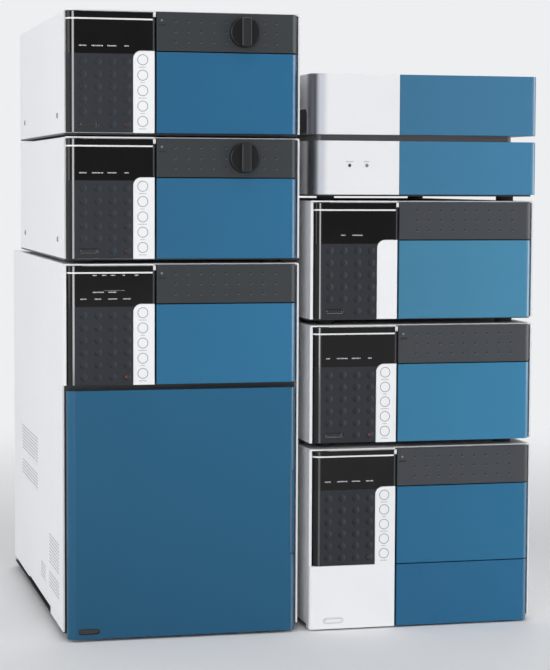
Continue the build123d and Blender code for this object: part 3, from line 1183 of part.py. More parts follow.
module_back = FRONT + MODULE_DEPTH
make_inlets("mains_inlets", (
    (PUMP_LEFT, PUMP_1_BOTTOM, module_back),
    (PUMP_LEFT, PUMP_2_BOTTOM, module_back),
    (LEFT_STACK, SAMPLER_BOTTOM + SAMPLER_LIFT, FRONT + SAMPLER_DEPTH),
    (RIGHT_STACK, OVEN_BOTTOM + OVEN_LIFT, module_back),
    (RIGHT_STACK, DETECTOR_BOTTOM, module_back),
    (RIGHT_STACK, CONTROLLER_BOTTOM, module_back),
    (RIGHT_STACK, DEGASSER_BOTTOM, module_back),
))

left_right = LEFT_STACK + MODULE_WIDTH
make_feet("rubber_feet", (
    (PUMP_LEFT, left_right, PUMP_2_BOTTOM + PANEL_HEIGHT, PUMP_1_BOTTOM - PAN_THICKNESS, MODULE_DEPTH),
    (PUMP_LEFT, left_right, SAMPLER_TOP, PUMP_2_BOTTOM - PAN_THICKNESS, MODULE_DEPTH),
    (LEFT_STACK, left_right, 0, SAMPLER_BOTTOM + SAMPLER_LIFT - PAN_THICKNESS, SAMPLER_DEPTH),
    (RIGHT_STACK, right_edge, 0, OVEN_BOTTOM + OVEN_LIFT - PAN_THICKNESS, MODULE_DEPTH),
    (RIGHT_STACK, right_edge, OVEN_TOP, DETECTOR_BOTTOM - PAN_THICKNESS, MODULE_DEPTH),
    (RIGHT_STACK, right_edge, DETECTOR_BOTTOM + PANEL_HEIGHT, CONTROLLER_BOTTOM - PAN_THICKNESS, MODULE_DEPTH),
    (RIGHT_STACK, right_edge, CONTROLLER_BOTTOM + PANEL_HEIGHT, DEGASSER_BOTTOM - PAN_THICKNESS, MODULE_DEPTH),
))
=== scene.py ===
import bpy
import bmesh
import json
import math
from mathutils import Matrix, Vector


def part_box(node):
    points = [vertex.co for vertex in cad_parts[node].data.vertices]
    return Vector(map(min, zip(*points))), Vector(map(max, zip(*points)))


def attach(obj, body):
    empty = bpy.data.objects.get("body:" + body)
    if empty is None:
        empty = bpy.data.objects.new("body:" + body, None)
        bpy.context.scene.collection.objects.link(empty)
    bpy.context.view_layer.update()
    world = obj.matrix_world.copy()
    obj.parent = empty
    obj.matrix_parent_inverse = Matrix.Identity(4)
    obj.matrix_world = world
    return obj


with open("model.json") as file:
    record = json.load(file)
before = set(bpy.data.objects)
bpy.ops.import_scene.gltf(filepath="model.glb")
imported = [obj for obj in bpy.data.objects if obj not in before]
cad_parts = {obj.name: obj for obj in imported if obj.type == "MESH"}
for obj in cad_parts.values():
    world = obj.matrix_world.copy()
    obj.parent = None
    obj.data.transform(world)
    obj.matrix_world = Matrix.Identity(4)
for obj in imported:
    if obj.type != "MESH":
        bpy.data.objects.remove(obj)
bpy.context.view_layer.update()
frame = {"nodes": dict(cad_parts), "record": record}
NODES = frame["nodes"]
ROOT = "system"
MM = 0.001
AMBIENT = 0.28
FRONT_ROOM = 0.3  # brightness of the studio behind the camera, as mirrored in glossy fronts

# ---------------------------------------------------------------- sizes shared with the solids, in millimetres
COVER_RADIUS = 9.0
COVER_GAP = 0.5
TAB = ((94.8, 98.0), (125.6, 131.2))  # tab on the cover's free edge
SLOT = (24.2, 8.8, 22.4, 5.2)
SAMPLER_SLOT = (23.4, 8.5, 22.4, 5.2)
ROUND_KEYS = [(83.5, 12.5 + 16.725 * i) for i in range(5)]
ROUND_KEY_RADIUS = 5.8
KEY_COLUMNS = [17.8 + 16.1 * i for i in range(4)]
KEY_ROWS = [9.0 + 13.6 * i for i in range(6)]
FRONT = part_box("pump_1_case")[0].y / MM - 9.5

EDGE_IOR = 2.0  # polish of the rounded edges, which carry a bright line
EDGE_LINE = 7.0  # that line on a key cover, from its left edge
SIDE_LINE = 3.9  # and on a door, strip or panel, from its right edge

DIMPLE_X = 119.7
DIMPLE_RIGHT = 24.5  # last dimple from the vent strip's right end

MODULES = {  # module: display boundary above the panel's lower edge, height of the white line
    "pump_1": (85.5, 123.0),
    "pump_2": (85.5, 123.0),
    "autosampler": (86.2, 123.4),
    "controller": (84.8, 122.6),
    "detector": (86.2, 123.4),
    "oven": (86.5, 124.6),
}


def panel(module):
    """Left and lower edge of a module's key panel, in millimetres."""
    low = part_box(module + "_key_cover")[0]
    return low.x / MM, low.z / MM - COVER_GAP


# ---------------------------------------------------------------- materials
def srgb(r, g, b):
    """Linear colour of an 8-bit screen colour."""
    return tuple(((c / 255 + 0.055) / 1.055) ** 2.4 if c > 10 else c / 255 / 12.92 for c in (r, g, b)) + (1.0,)


def shade(colour, k):
    return tuple(min(1.0, c * k) for c in colour[:3]) + (1.0,)


class Tree:
    """Small helper that adds and links shader nodes."""

    def __init__(self, name):
        self.material = bpy.data.materials.new(name)
        self.material.use_nodes = True
        self.tree = self.material.node_tree
        self.tree.nodes.clear()
        self.out = self.add("ShaderNodeOutputMaterial")
        self.bsdf = self.add("ShaderNodeBsdfPrincipled")
        self.link(self.bsdf.outputs[0], self.out.inputs[0])
        self.coords = self.add("ShaderNodeTexCoord").outputs["Object"]

    def add(self, kind, **values):
        node = self.tree.nodes.new(kind)
        for key, value in values.items():
            setattr(node, key, value)
        return node

    def link(self, a, b):
        self.tree.links.new(a, b)

    def noise(self, scale, detail=2.0, stretch=None, rough=0.5):
        node = self.add("ShaderNodeTexNoise")
        node.inputs["Scale"].default_value = scale
        node.inputs["Detail"].default_value = detail
        node.inputs["Roughness"].default_value = rough
        source = self.coords
        if stretch:
            mapping = self.add("ShaderNodeMapping")
            mapping.inputs["Scale"].default_value = stretch
            self.link(source, mapping.inputs["Vector"])
            source = mapping.outputs["Vector"]
        self.link(source, node.inputs["Vector"])
        return node.outputs["Fac"]

    def ramp(self, source, low, high, to_low, to_high, smooth=False):
        node = self.add("ShaderNodeMapRange")
        if smooth:
            node.interpolation_type = "SMOOTHSTEP"
        node.inputs["From Min"].default_value = low
        node.inputs["From Max"].default_value = high
        node.inputs["To Min"].default_value = to_low
        node.inputs["To Max"].default_value = to_high
        self.link(source, node.inputs["Value"])
        return node.outputs["Result"]

    def mix(self, factor, a, b):
        """Colour mix; a and b are colours or sockets."""
        node = self.add("ShaderNodeMix", data_type="RGBA")
        self.link(factor, node.inputs["Factor"])
        for socket, value in ((node.inputs[6], a), (node.inputs[7], b)):
            if isinstance(value, tuple):
                socket.default_value = value
            else:
                self.link(value, socket)
        return node.outputs[2]

    def tinted(self, colour, k):
        """Colour socket multiplied by k."""
        node = self.add("ShaderNodeVectorMath", operation="SCALE")
        node.inputs["Scale"].default_value = k
        self.link(colour, node.inputs[0])
        return node.outputs["Vector"]

    def axis(self, name):
        node = self.add("ShaderNodeSeparateXYZ")
        self.link(self.coords, node.inputs[0])
        return node.outputs[name]

    def band(self, centre, full, none, value):
        """Upright band about an X: value inside full, zero beyond none."""
        off = self.add("ShaderNodeMath", operation="SUBTRACT")
        self.link(self.axis("X"), off.inputs[0])
        off.inputs[1].default_value = centre
        away = self.add("ShaderNodeMath", operation="ABSOLUTE")
        self.link(off.outputs[0], away.inputs[0])
        return self.ramp(away.outputs[0], full, none, value, 0.0, smooth=True)

    def bump(self, height, strength, distance):
        node = self.add("ShaderNodeBump")
        node.inputs["Strength"].default_value = strength
        node.inputs["Distance"].default_value = distance
        self.link(height, node.inputs["Height"])
        self.link(node.outputs["Normal"], self.bsdf.inputs["Normal"])

    def set(self, **values):
        for key, value in values.items():
            self.bsdf.inputs[key.replace("_", " ")].default_value = value


def coat_paint(name, colour, rough=0.4, spread=0.02, grain=700.0, bump=0.06, cloud=9.0, stretch=None, wear=0.04, **more):
    """Moulded plastic or powder coat: slight colour drift, uneven gloss and a fine grain."""
    t = Tree(name)
    drift = t.noise(cloud, 3.0)
    factor = t.ramp(drift, 0.3, 0.7, 0.0, 1.0)
    t.link(t.mix(factor, shade(colour, 1 - spread), shade(colour, 1 + spread)), t.bsdf.inputs["Base Color"])
    fine = t.noise(grain, 2.0, stretch)
    t.link(t.ramp(fine, 0.3, 0.7, rough - wear, rough + wear), t.bsdf.inputs["Roughness"])
    t.bump(fine, bump, 0.0002)
    t.set(**more)
    return t.material


def metal(name, colour, rough=0.32, stretch=(1.0, 1.0, 40.0), grain=60.0, **more):
    """Machined or brushed metal with a directional grain."""
    t = Tree(name)
    brush = t.noise(grain, 4.0, stretch, 0.6)
    drift = t.noise(14.0, 2.0)
    base = t.mix(t.ramp(drift, 0.3, 0.7, 0.0, 1.0), shade(colour, 0.94), shade(colour, 1.05))
    t.link(base, t.bsdf.inputs["Base Color"])
    t.link(t.ramp(brush, 0.3, 0.7, rough - 0.07, rough + 0.08), t.bsdf.inputs["Roughness"])
    t.bump(brush, 0.12, 0.0002)
    t.set(Metallic=1.0, **more)
    return t.material


def cover_material(module):
    """Smoked key cover: glossy black display half above a dark grey key half, whose colour carries painted light by
    which way its surface faces.
    """
    left, bottom = panel(module)
    boundary = (bottom + MODULES[module][0]) * MM
    t = Tree(module + "_cover_smoked")
    height = t.axis("Z")
    part = t.ramp(height, boundary - 0.0002, boundary + 0.0002, 0.0, 1.0)
    drift = t.ramp(t.noise(22.0, 3.0), 0.3, 0.7, 0.0, 1.0)
    # painted light: the key half is darker where it faces left and paler where it faces right, as if lit from the right
    slope = t.add("ShaderNodeSeparateXYZ")
    t.link(t.add("ShaderNodeNewGeometry").outputs["Normal"], slope.inputs[0])
    painted_facing_light = t.ramp(slope.outputs["X"], -0.3, 0.3, 0.0, 1.0)
    keys = t.mix(painted_facing_light, srgb(16, 18, 21), srgb(54, 58, 65))
    keys = t.mix(drift, keys, t.tinted(keys, 1.12))
    display = t.mix(drift, srgb(15, 14, 15), srgb(21, 19, 20))
    t.link(t.mix(part, keys, display), t.bsdf.inputs["Base Color"])
    fine = t.noise(800.0, 2.0)
    key_rough = t.ramp(fine, 0.3, 0.7, 0.42, 0.5)
    join = t.add("ShaderNodeMix", data_type="FLOAT")
    t.link(part, join.inputs["Factor"])
    t.link(key_rough, join.inputs[2])
    join.inputs[3].default_value = 0.12
    t.link(join.outputs[0], t.bsdf.inputs["Roughness"])
    t.bump(fine, 0.02, 0.0001)
    t.link(t.band((left + EDGE_LINE) * MM, 0.0007, 0.0015, 1.0), t.bsdf.inputs["Coat Weight"])
    t.set(Specular_IOR_Level=0.25, Coat_IOR=EDGE_IOR, Coat_Roughness=0.09)
    return t.material


def front_colour(node, colour, floor_shade=1.0, gloss=1.0):
    """Satin front moulding with painted light: a little paler towards its right edge, and painted shade darker below
    where floor_shade is under one.
    """
    low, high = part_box(node)
    t = Tree(node + "_satin")
    # painted light: the colour grows paler from the left edge to the right edge
    across = t.ramp(t.axis("X"), low.x, high.x, 0.0, 1.0, smooth=True)
    body = t.mix(across, shade(colour, 0.95), shade(colour, 1.07))
    # painted shade: darker towards the lower edge by floor_shade
    fall = t.ramp(t.axis("Z"), low.z, high.z, 0.0, 1.0)
    body = t.mix(fall, t.tinted(body, floor_shade), body)
    drift = t.ramp(t.noise(9.0, 3.0), 0.3, 0.7, 0.0, 1.0)
    t.link(t.mix(drift, t.tinted(body, 0.97), body), t.bsdf.inputs["Base Color"])
    fine = t.noise(1600.0, 2.0)
    t.link(t.ramp(fine, 0.3, 0.7, 0.3, 0.38), t.bsdf.inputs["Roughness"])
    t.bump(fine, 0.05, 0.0002)
    t.link(t.band(high.x - SIDE_LINE * MM, 0.0006, 0.0015, gloss), t.bsdf.inputs["Coat Weight"])
    t.set(Specular_IOR_Level=0.25, Coat_IOR=EDGE_IOR, Coat_Roughness=0.16)
    return t.material


def corner_shaded_white(name, node, dark, pocket_shade=None):
    """Gloss white with a painted reflection: it darkens round the left front corner as if mirroring the shadowed gap
    between the stacks; pocket_shade, if given, is painted shade inside the tray's rim.
    """
    low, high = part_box(node)
    t = Tree(name)
    drift = t.ramp(t.noise(9.0, 3.0), 0.3, 0.7, 0.0, 1.0)
    flat = t.mix(drift, srgb(226, 227, 229), srgb(231, 231, 233))
    # painted reflection: the rounded left front corner is darkened as if it mirrored the shadowed gap between the
    # stacks
    turned = t.mix(t.ramp(t.axis("X"), low.x + 0.004, low.x + 0.009, 0.0, 1.0, smooth=True), dark, srgb(176, 180, 190))
    body = t.mix(t.ramp(t.axis("X"), low.x + 0.008, low.x + 0.02, 0.0, 1.0, smooth=True), turned, flat)
    front = t.ramp(t.axis("Y"), low.y + 0.016, low.y + 0.03, 0.0, 1.0)
    body = t.mix(front, body, flat)
    # painted shade: the pocket inside the tray's rim, below its top edge, gets its own dark colour
    if pocket_shade:
        for axis, edges in (("X", (low.x, high.x)), ("Y", (low.y, high.y))):
            near = t.ramp(t.axis(axis), edges[0] + 0.0029, edges[0] + 0.00295, 0.0, 1.0)
            past = t.ramp(t.axis(axis), edges[1] - 0.00295, edges[1] - 0.0029, 1.0, 0.0)
            both = t.add("ShaderNodeMath", operation="MULTIPLY")
            t.link(near, both.inputs[0])
            t.link(past, both.inputs[1])
            if axis == "X":
                inside = both.outputs[0]
            else:
                last = t.add("ShaderNodeMath", operation="MULTIPLY")
                t.link(inside, last.inputs[0])
                t.link(both.outputs[0], last.inputs[1])
                inside = last.outputs[0]
        below = t.ramp(t.axis("Z"), high.z - 0.0012, high.z - 0.001, 1.0, 0.0)
        last = t.add("ShaderNodeMath", operation="MULTIPLY")
        t.link(inside, last.inputs[0])
        t.link(below, last.inputs[1])
        body = t.mix(last.outputs[0], body, pocket_shade)
    t.link(body, t.bsdf.inputs["Base Color"])
    fine = t.noise(1100.0, 2.0)
    t.link(t.ramp(fine, 0.3, 0.7, 0.28, 0.36), t.bsdf.inputs["Roughness"])
    t.bump(fine, 0.04, 0.0002)
    return t.material


def knob_paint():
    """Black skirt under a slightly paler grip."""
    t = Tree("knob_black_satin")
    grip = t.ramp(t.axis("Y"), (FRONT - 14.0) * MM, (FRONT - 13.0) * MM, 1.0, 0.0)
    drift = t.ramp(t.noise(9.0, 3.0), 0.3, 0.7, 0.0, 1.0)
    skirt = t.mix(drift, srgb(9, 10, 12), srgb(14, 15, 17))
    t.link(t.mix(grip, skirt, srgb(34, 36, 38)), t.bsdf.inputs["Base Color"])
    fine = t.noise(1800.0, 2.0)
    t.link(t.ramp(fine, 0.3, 0.7, 0.32, 0.4), t.bsdf.inputs["Roughness"])
    t.bump(fine, 0.08, 0.0002)
    t.set(Specular_IOR_Level=0.35)
    return t.material


# one blue paint given per front at different brightness as painted light and shade: paler on the right stack, darker on
# the tall door
BLUES = {
    "pump_1_door": srgb(38, 98, 136),
    "pump_2_door": srgb(42, 102, 139),
    "autosampler_upper_panel": srgb(43, 107, 145),
    "autosampler_door": srgb(34, 92, 126),
    "tray_panel": srgb(62, 115, 149),
    "degasser_panel": srgb(62, 120, 155),
    "controller_panel": srgb(67, 128, 160),
    "detector_door": srgb(54, 121, 157),
    "oven_door": srgb(40, 104, 141),
    "oven_lower_panel": srgb(38, 99, 137),
}
FLOOR_SHADE = {"autosampler_door": 0.84}  # painted shade: the tall door is darker towards the floor
# painted light: the right stack's vent strips are given a paler grey than the left stack's
STRIPS = {"left": srgb(56, 60, 63), "right": srgb(66, 69, 73)}
MATERIALS = {
    "case_paint": coat_paint("case_powder_coat", srgb(231, 232, 234), rough=0.5, grain=900.0, bump=0.12, spread=0.012),
    # dark grey steel, partly painted shade so the gaps under the modules read dark
    "chassis_steel": metal("chassis_sheet", srgb(88, 88, 90), rough=0.5),
    "bezel_white": coat_paint("bezel_moulded_white", srgb(234, 235, 237), rough=0.36, grain=1200.0, bump=0.05, spread=0.01),
    # painted reflection on the tray's left corner and painted shade in its pocket
    "tray_white": corner_shaded_white("tray_gloss_white", "tray_body", srgb(96, 98, 108), pocket_shade=srgb(52, 52, 56)),
    "button_dark": coat_paint("button_dark_grey", srgb(44, 46, 50), rough=0.4, grain=1500.0),
    "button_white": coat_paint("button_white", srgb(232, 233, 234), rough=0.38, grain=1500.0, spread=0.01),
    "knob_black": knob_paint(),
    "steel": metal("head_machined_steel", srgb(176, 178, 182), rough=0.24),
    "aluminium": metal("block_machined_aluminium", srgb(188, 190, 193), rough=0.34),
    "base_grey": coat_paint("plinth_gloss_grey", srgb(118, 117, 120), rough=0.25, grain=1200.0, bump=0.05),
    "inlet_black": coat_paint("inlet_matt_black", srgb(26, 26, 28), rough=0.55, grain=1400.0, bump=0.1, spread=0.06),
    "rubber_black": coat_paint("foot_rubber", srgb(30, 30, 31), rough=0.75, grain=1400.0, bump=0.3, spread=0.08),
}
slots = {row["node"]: row["material_slot"] for row in frame["record"]["subparts"]}
for node, slot in slots.items():
    if slot == "cover_dark":
        material = cover_material(node[: -len("_key_cover")])
    elif node in BLUES:
        material = front_colour(node, BLUES[node], FLOOR_SHADE.get(node, 1.0))
    elif node == "degasser_case":
        # painted reflection of the gap between the stacks on the degasser's left front corner
        material = corner_shaded_white("degasser_gloss_white", node, srgb(44, 48, 53))
    elif slot == "strip_grey":
        material = front_colour(node, STRIPS["left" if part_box(node)[1].x < 0 else "right"], gloss=0.25)
    else:
        material = MATERIALS[slot]
    NODES[node].data.materials.clear()
    NODES[node].data.materials.append(material)

INK_WHITE = coat_paint("print_white", srgb(228, 228, 228), rough=0.45, grain=2000.0, spread=0.02)
INK_GREY = coat_paint("print_grey", srgb(150, 153, 158), rough=0.45, grain=2000.0, spread=0.02)
INK_PALE = coat_paint("print_pale_grey", srgb(196, 197, 200), rough=0.45, grain=2000.0, spread=0.02)
# black for print, also painted shade on the vent strip dimples
INK_AND_SHADE_BLACK = coat_paint("print_and_shade_black", srgb(22, 22, 24), rough=0.5, grain=2000.0, spread=0.05)
# painted highlight on the lower edge of each dimple
LIP_HIGHLIGHT = coat_paint("dimple_lip_highlight", srgb(92, 95, 99), rough=0.4, grain=2000.0, spread=0.02)
# painted shade in the groove round each round key
GROOVE_SHADE = coat_paint("groove_shade_grey", srgb(128, 131, 136), rough=0.45, grain=2000.0, spread=0.02)
# painted highlight along the rounded right edge of a key cover
EDGE_SHEEN = coat_paint("cover_edge_sheen", srgb(58, 60, 63), rough=0.35, grain=1500.0, spread=0.04)
KEY_RED = coat_paint("key_red_tint", srgb(74, 34, 39), rough=0.3, grain=1500.0, spread=0.05)
KEY_ORANGE = coat_paint("key_orange_tint", srgb(92, 52, 36), rough=0.3, grain=1500.0, spread=0.05)
KEY_CAP = coat_paint("key_cap_grey", srgb(128, 132, 138), rough=0.45, grain=1600.0, spread=0.03)
LCD = coat_paint("display_glass", srgb(26, 33, 30), rough=0.1, grain=1200.0, bump=0.01, spread=0.08)
LENS = coat_paint("lamp_lens", srgb(116, 119, 118), rough=0.3, grain=1500.0, spread=0.05)
LENS_DARK = coat_paint("lamp_lens_dark", srgb(38, 40, 42), rough=0.15, grain=1500.0, spread=0.05, Coat_Weight=0.6)
# painted shade standing for the perforations in the autosampler's side
HOLE_SHADE = coat_paint("vent_hole_shade", srgb(150, 152, 154), rough=0.8, grain=1500.0, spread=0.05)
SCREW = metal("screw_zinc", srgb(150, 152, 156), rough=0.3, grain=200.0)


# ---------------------------------------------------------------- mesh tools, all in millimetres
def finish_mesh(name, bm, material, body, smooth=False):
    bmesh.ops.recalc_face_normals(bm, faces=bm.faces)
    bmesh.ops.scale(bm, vec=(MM, MM, MM), verts=bm.verts)
    mesh = bpy.data.meshes.new(name)
    bm.to_mesh(mesh)
    bm.free()
    if smooth:
        mesh.shade_smooth()
    obj = bpy.data.objects.new(name, mesh)
    bpy.context.scene.collection.objects.link(obj)
    obj.data.materials.append(material)
    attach(obj, body)
    return obj


def add_box(bm, x, y, z):
    """Axis-aligned box between low and high X, Y, Z."""
    corners = [bm.verts.new((a, b, c)) for a in x for b in y for c in z]
    for face in ((0, 1, 3, 2), (4, 6, 7, 5), (0, 4, 5, 1), (2, 3, 7, 6), (0, 2, 6, 4), (1, 5, 7, 3)):
        bm.faces.new([corners[i] for i in face])


def add_prism(bm, outline, y_front, y_back):
    """Flat plate: an (x, z) outline between two depths."""
    front = [bm.verts.new((x, y_front, z)) for x, z in outline]
    back = [bm.verts.new((x, y_back, z)) for x, z in outline]
    bm.faces.new(front)
    bm.faces.new(list(reversed(back)))
    for i in range(len(outline)):
        j = (i + 1) % len(outline)
        bm.faces.new((front[i], front[j], back[j], back[i]))


def circle(x, z, radius, count=32):
    return [(x + radius * math.cos(math.tau * i / count), z + radius * math.sin(math.tau * i / count)) for i in range(count)]


def stadium(x, z, length, height, count=10):
    r = height / 2
    half = length / 2 - r
    right = [(x + half + r * math.cos(a), z + r * math.sin(a)) for a in [math.pi * (i / count - 0.5) for i in range(count + 1)]]
    left = [(x - half + r * math.cos(a), z + r * math.sin(a)) for a in [math.pi * (i / count + 0.5) for i in range(count + 1)]]
    return right + left


def add_band(bm, outer, inner, y_front, y_back):
    """Ring between two outlines with the same number of points."""
    count = len(outer)
    rings = [[bm.verts.new((x, y, z)) for x, z in line] for line, y in ((outer, y_front), (inner, y_front), (inner, y_back), (outer, y_back))]
    for a, b in zip(rings, rings[1:] + rings[:1]):
        for i in range(count):
            j = (i + 1) % count
            bm.faces.new((a[i], a[j], b[j], b[i]))


def add_dome(bm, x, z, y, radius, height, rings=5, count=24):
    """Rounded cap that faces the front, standing on depth y."""
    rows = []
    for r in range(rings):
        t = r / rings
        rows.append([bm.verts.new((px, y - height * math.sqrt(1 - (1 - t) ** 2) if t else y, pz)) for px, pz in circle(x, z, radius * (1 - t), count)])
    top = bm.verts.new((x, y - height, z))
    for a, b in zip(rows, rows[1:]):
        for i in range(count):
            j = (i + 1) % count
            bm.faces.new((a[i], a[j], b[j], b[i]))
    for i in range(count):
        bm.faces.new((rows[-1][i], rows[-1][(i + 1) % count], top))
    bm.faces.new(list(reversed(rows[0])))


def dashes(x_low, x_high, z, height=1.4, pitch=1.5, stroke=1.05):
    """Blind marks where a small caption would be: a row of short bars."""
    count = max(2, round((x_high - x_low) / pitch))
    step = (x_high - x_low) / count
    marks = []
    for i in range(count):
        tall = height * (0.72, 1.0, 0.8)[i % 3]
        x = x_low + i * step
        marks.append(((x, x + stroke * step / pitch), (z - tall / 2, z + tall / 2)))
    return marks


def printed(name, marks, y, material, body, thick=0.06):
    """Thin printed marks standing a hair in front of depth y."""
    bm = bmesh.new()
    for x, z in marks:
        add_box(bm, x, (y - thick, y + 0.02), z)
    return finish_mesh(name, bm, material, body)


# ---------------------------------------------------------------- printing and trim on the key covers
LABELS = {
    "pump_1": [((13.4, 22.0), 93.8), ((27.5, 40.2), 93.8), ((44.4, 54.9), 93.9), ((63.2, 68.5), 93.9)],
    "autosampler": [((28.1, 32.9), 120.7), ((38.2, 43.5), 120.7), ((47.9, 53.4), 120.7), ((61.2, 63.8), 120.7),
                    ((74.4, 78.9), 120.7), ((28.0, 40.6), 102.2), ((45.0, 54.5), 102.2),
                    ((14.4, 21.4), 94.8), ((30.2, 37.5), 94.8), ((45.2, 55.4), 94.8), ((61.8, 70.4), 94.8)],
    "controller": [((30.6, 36.1), 94.4), ((43.7, 55.9), 94.4)],
    "detector": [((14.2, 19.1), 95.8), ((26.6, 39.4), 95.8), ((44.1, 54.6), 95.8), ((63.1, 67.8), 95.8)],
    "oven": [((13.5, 20.7), 96.1), ((27.8, 40.3), 96.1), ((45.0, 55.4), 96.1), ((61.7, 70.7), 96.1)],
}
LABELS["pump_2"] = LABELS["pump_1"]
TINTED_KEY = {"pump_1": KEY_RED, "pump_2": KEY_RED, "autosampler": KEY_ORANGE, "detector": KEY_ORANGE, "oven": KEY_RED}


def cover_line(module):
    """White line across the cover, carried round its rounded hinge edge."""
    left, bottom = panel(module)
    low = bottom + MODULES[module][1] - 0.85
    high = low + 1.7
    centre = (left + COVER_RADIUS, FRONT + COVER_RADIUS)
    path = []
    for i in range(11):
        a = math.pi + math.pi / 2 * i / 10
        path.append((math.cos(a), math.sin(a)))
    outer = [(centre[0] + (COVER_RADIUS + 0.06) * c, centre[1] + (COVER_RADIUS + 0.06) * s) for c, s in path]
    inner = [(centre[0] + (COVER_RADIUS - 0.03) * c, centre[1] + (COVER_RADIUS - 0.03) * s) for c, s in path]
    outer.append((left + 94.4, FRONT - 0.06))
    inner.append((left + 94.4, FRONT + 0.03))
    bm = bmesh.new()
    loops = [[bm.verts.new((x, y, z)) for x, y in line] for line, z in ((outer, low), (outer, high), (inner, high), (inner, low))]
    for a, b in zip(loops, loops[1:] + loops[:1]):
        for i in range(len(outer) - 1):
            bm.faces.new((a[i], a[i + 1], b[i + 1], b[i]))
    bm.faces.new([loop[0] for loop in loops])
    bm.faces.new([loop[-1] for loop in reversed(loops)])
    finish_mesh(module + "_cover_line", bm, INK_WHITE, module + "_key_cover")


def trim_cover(module):
    left, bottom = panel(module)
    body = module + "_key_cover"
    cover_line(module)
    marks = []
    for (x_low, x_high), z in LABELS[module]:
        marks += dashes(left + x_low, left + x_high, bottom + z)
    if module == "autosampler":
        marks.append(((left + 40.6, left + 63.3), (bottom + 103.9, bottom + 104.1)))
    printed(module + "_cover_marks", marks, FRONT, INK_PALE, body)
    bm = bmesh.new()
    add_box(bm, [left + x for x in TAB[0]], (FRONT - 0.5, FRONT + 2.55), [bottom + z for z in TAB[1]])
    bmesh.ops.bevel(bm, geom=bm.edges[:], offset=0.25, segments=2, affect="EDGES")
    finish_mesh(module + "_cover_tab", bm, INK_WHITE, body, smooth=True)
    # a paler grey strip as painted highlight along the cover's rounded right edge
    printed(module + "_cover_edge", [((left + 94.7, left + 96.3), (bottom + 89.8, bottom + 125.4))], FRONT + 0.3, EDGE_SHEEN, body, 0.33)
    if module in TINTED_KEY:
        bm = bmesh.new()
        add_dome(bm, left + KEY_COLUMNS[3] - 1.0, bottom + KEY_ROWS[0], FRONT - 0.7, 1.9, 0.16)
        finish_mesh(module + "_cover_tint", bm, TINTED_KEY[module], body, smooth=True)


def trim_slot(module, left, bottom, slot, body, button_body, ring, button_face):
    """Rim of a power slot and the two small marks on the ends of its button."""
    x, z, length, height = slot
    bm = bmesh.new()
    add_band(bm, stadium(left + x, bottom + z, length + 1.6, height + 1.6), stadium(left + x, bottom + z, length - 0.1, height - 0.1),
             FRONT - 0.08, FRONT + 0.6)
    finish_mesh(module + "_slot_rim", bm, ring, body)
    bm = bmesh.new()
    for side in (-1, 1):
        add_dome(bm, left + x + side * (length / 2 - 2.6), bottom + z, button_face, 0.55, 0.12, count=16)
    finish_mesh(module + "_button_marks", bm, INK_PALE, button_body, smooth=True)


def trim_bezel(module):
    """Round membrane keys, their marks, the display glass and the key caps behind the cover."""
    left, bottom = panel(module)
    if module != "controller":
        # grey rings of painted shade in the grooves round the round keys
        bm = bmesh.new()
        for x, z in ROUND_KEYS:
            add_band(bm, circle(left + x, bottom + z, ROUND_KEY_RADIUS + 0.1), circle(left + x, bottom + z, ROUND_KEY_RADIUS - 0.6),
                     FRONT - 0.05, FRONT + 0.35)
        finish_mesh(module + "_round_key_rings", bm, GROOVE_SHADE, ROOT)
        marks = []
        for i, (x, z) in enumerate(ROUND_KEYS):
            half = (4.3, 2.6, 4.8, 2.4, 4.4)[i]
            marks += dashes(left + x - half, left + x + half, bottom + z - 8.1, 1.1, 1.3, 0.8)
        printed(module + "_round_key_marks", marks, FRONT, INK_GREY, ROOT, 0.04)
    bm = bmesh.new()
    face = FRONT + 9.6 - 3.4
    for row, key_z in enumerate(KEY_ROWS):
        for column, key_x in enumerate(KEY_COLUMNS):
            if row == 0 and column < 2 and module not in ("autosampler", "oven"):
                continue
            add_dome(bm, left + key_x, bottom + key_z, face, 4.2, 0.9)
    finish_mesh(module + "_key_caps", bm, KEY_CAP, ROOT, smooth=True)
    bm = bmesh.new()
    add_box(bm, (left + 16.0, left + 86.0), (FRONT + 9.6 - 4.15, FRONT + 9.6 - 3.8), (bottom + 96.0, bottom + 115.0))
    finish_mesh(module + "_display_glass", bm, LCD, ROOT)


def trim_strip(module):
    left, bottom = panel(module)
    bm = bmesh.new()
    add_dome(bm, left + 104.5, bottom + 122.5, FRONT - 0.38, 1.35, 0.3)
    finish_mesh(module + "_lamp_lens", bm, LENS, ROOT, smooth=True)
    printed(module + "_lamp_mark", dashes(left + 100.7, left + 109.2, bottom + 117.4, 2.4, 1.4, 1.4), FRONT, INK_AND_SHADE_BLACK, ROOT)


def trim_dimples(module):
    """Painted light on each dimple in the vent strip: a dark disc of painted shade with a paler crescent of painted
    highlight below it.
    """
    low, high = (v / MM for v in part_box(module + "_vent_strip"))
    left = panel(module)[0]
    pitch = (high.x - DIMPLE_RIGHT - left - DIMPLE_X) / 8
    for name, radius, drop, y, material in (("shade", 1.15, 0.0, 0.05, INK_AND_SHADE_BLACK), ("lip", 1.05, 0.75, 0.03, LIP_HIGHLIGHT)):
        bm = bmesh.new()
        for i in range(9):
            for row in range(3):
                outline = circle(left + DIMPLE_X + i * pitch + drop / 2, low.z + 10.5 + 11.2 * row - drop, radius, 12)
                add_prism(bm, outline, FRONT - y, FRONT + 0.02)
        finish_mesh(f"{module}_dimple_{name}", bm, material, ROOT)


for module in MODULES:
    trim_cover(module)
    trim_bezel(module)
    trim_dimples(module)
    if module != "controller":
        trim_strip(module)
    left, bottom = panel(module)
    if module != "autosampler" and module != "oven":
        trim_slot(module, left, bottom, SLOT, module + "_key_cover", module + "_power_button", INK_AND_SHADE_BLACK, FRONT + 3.5)

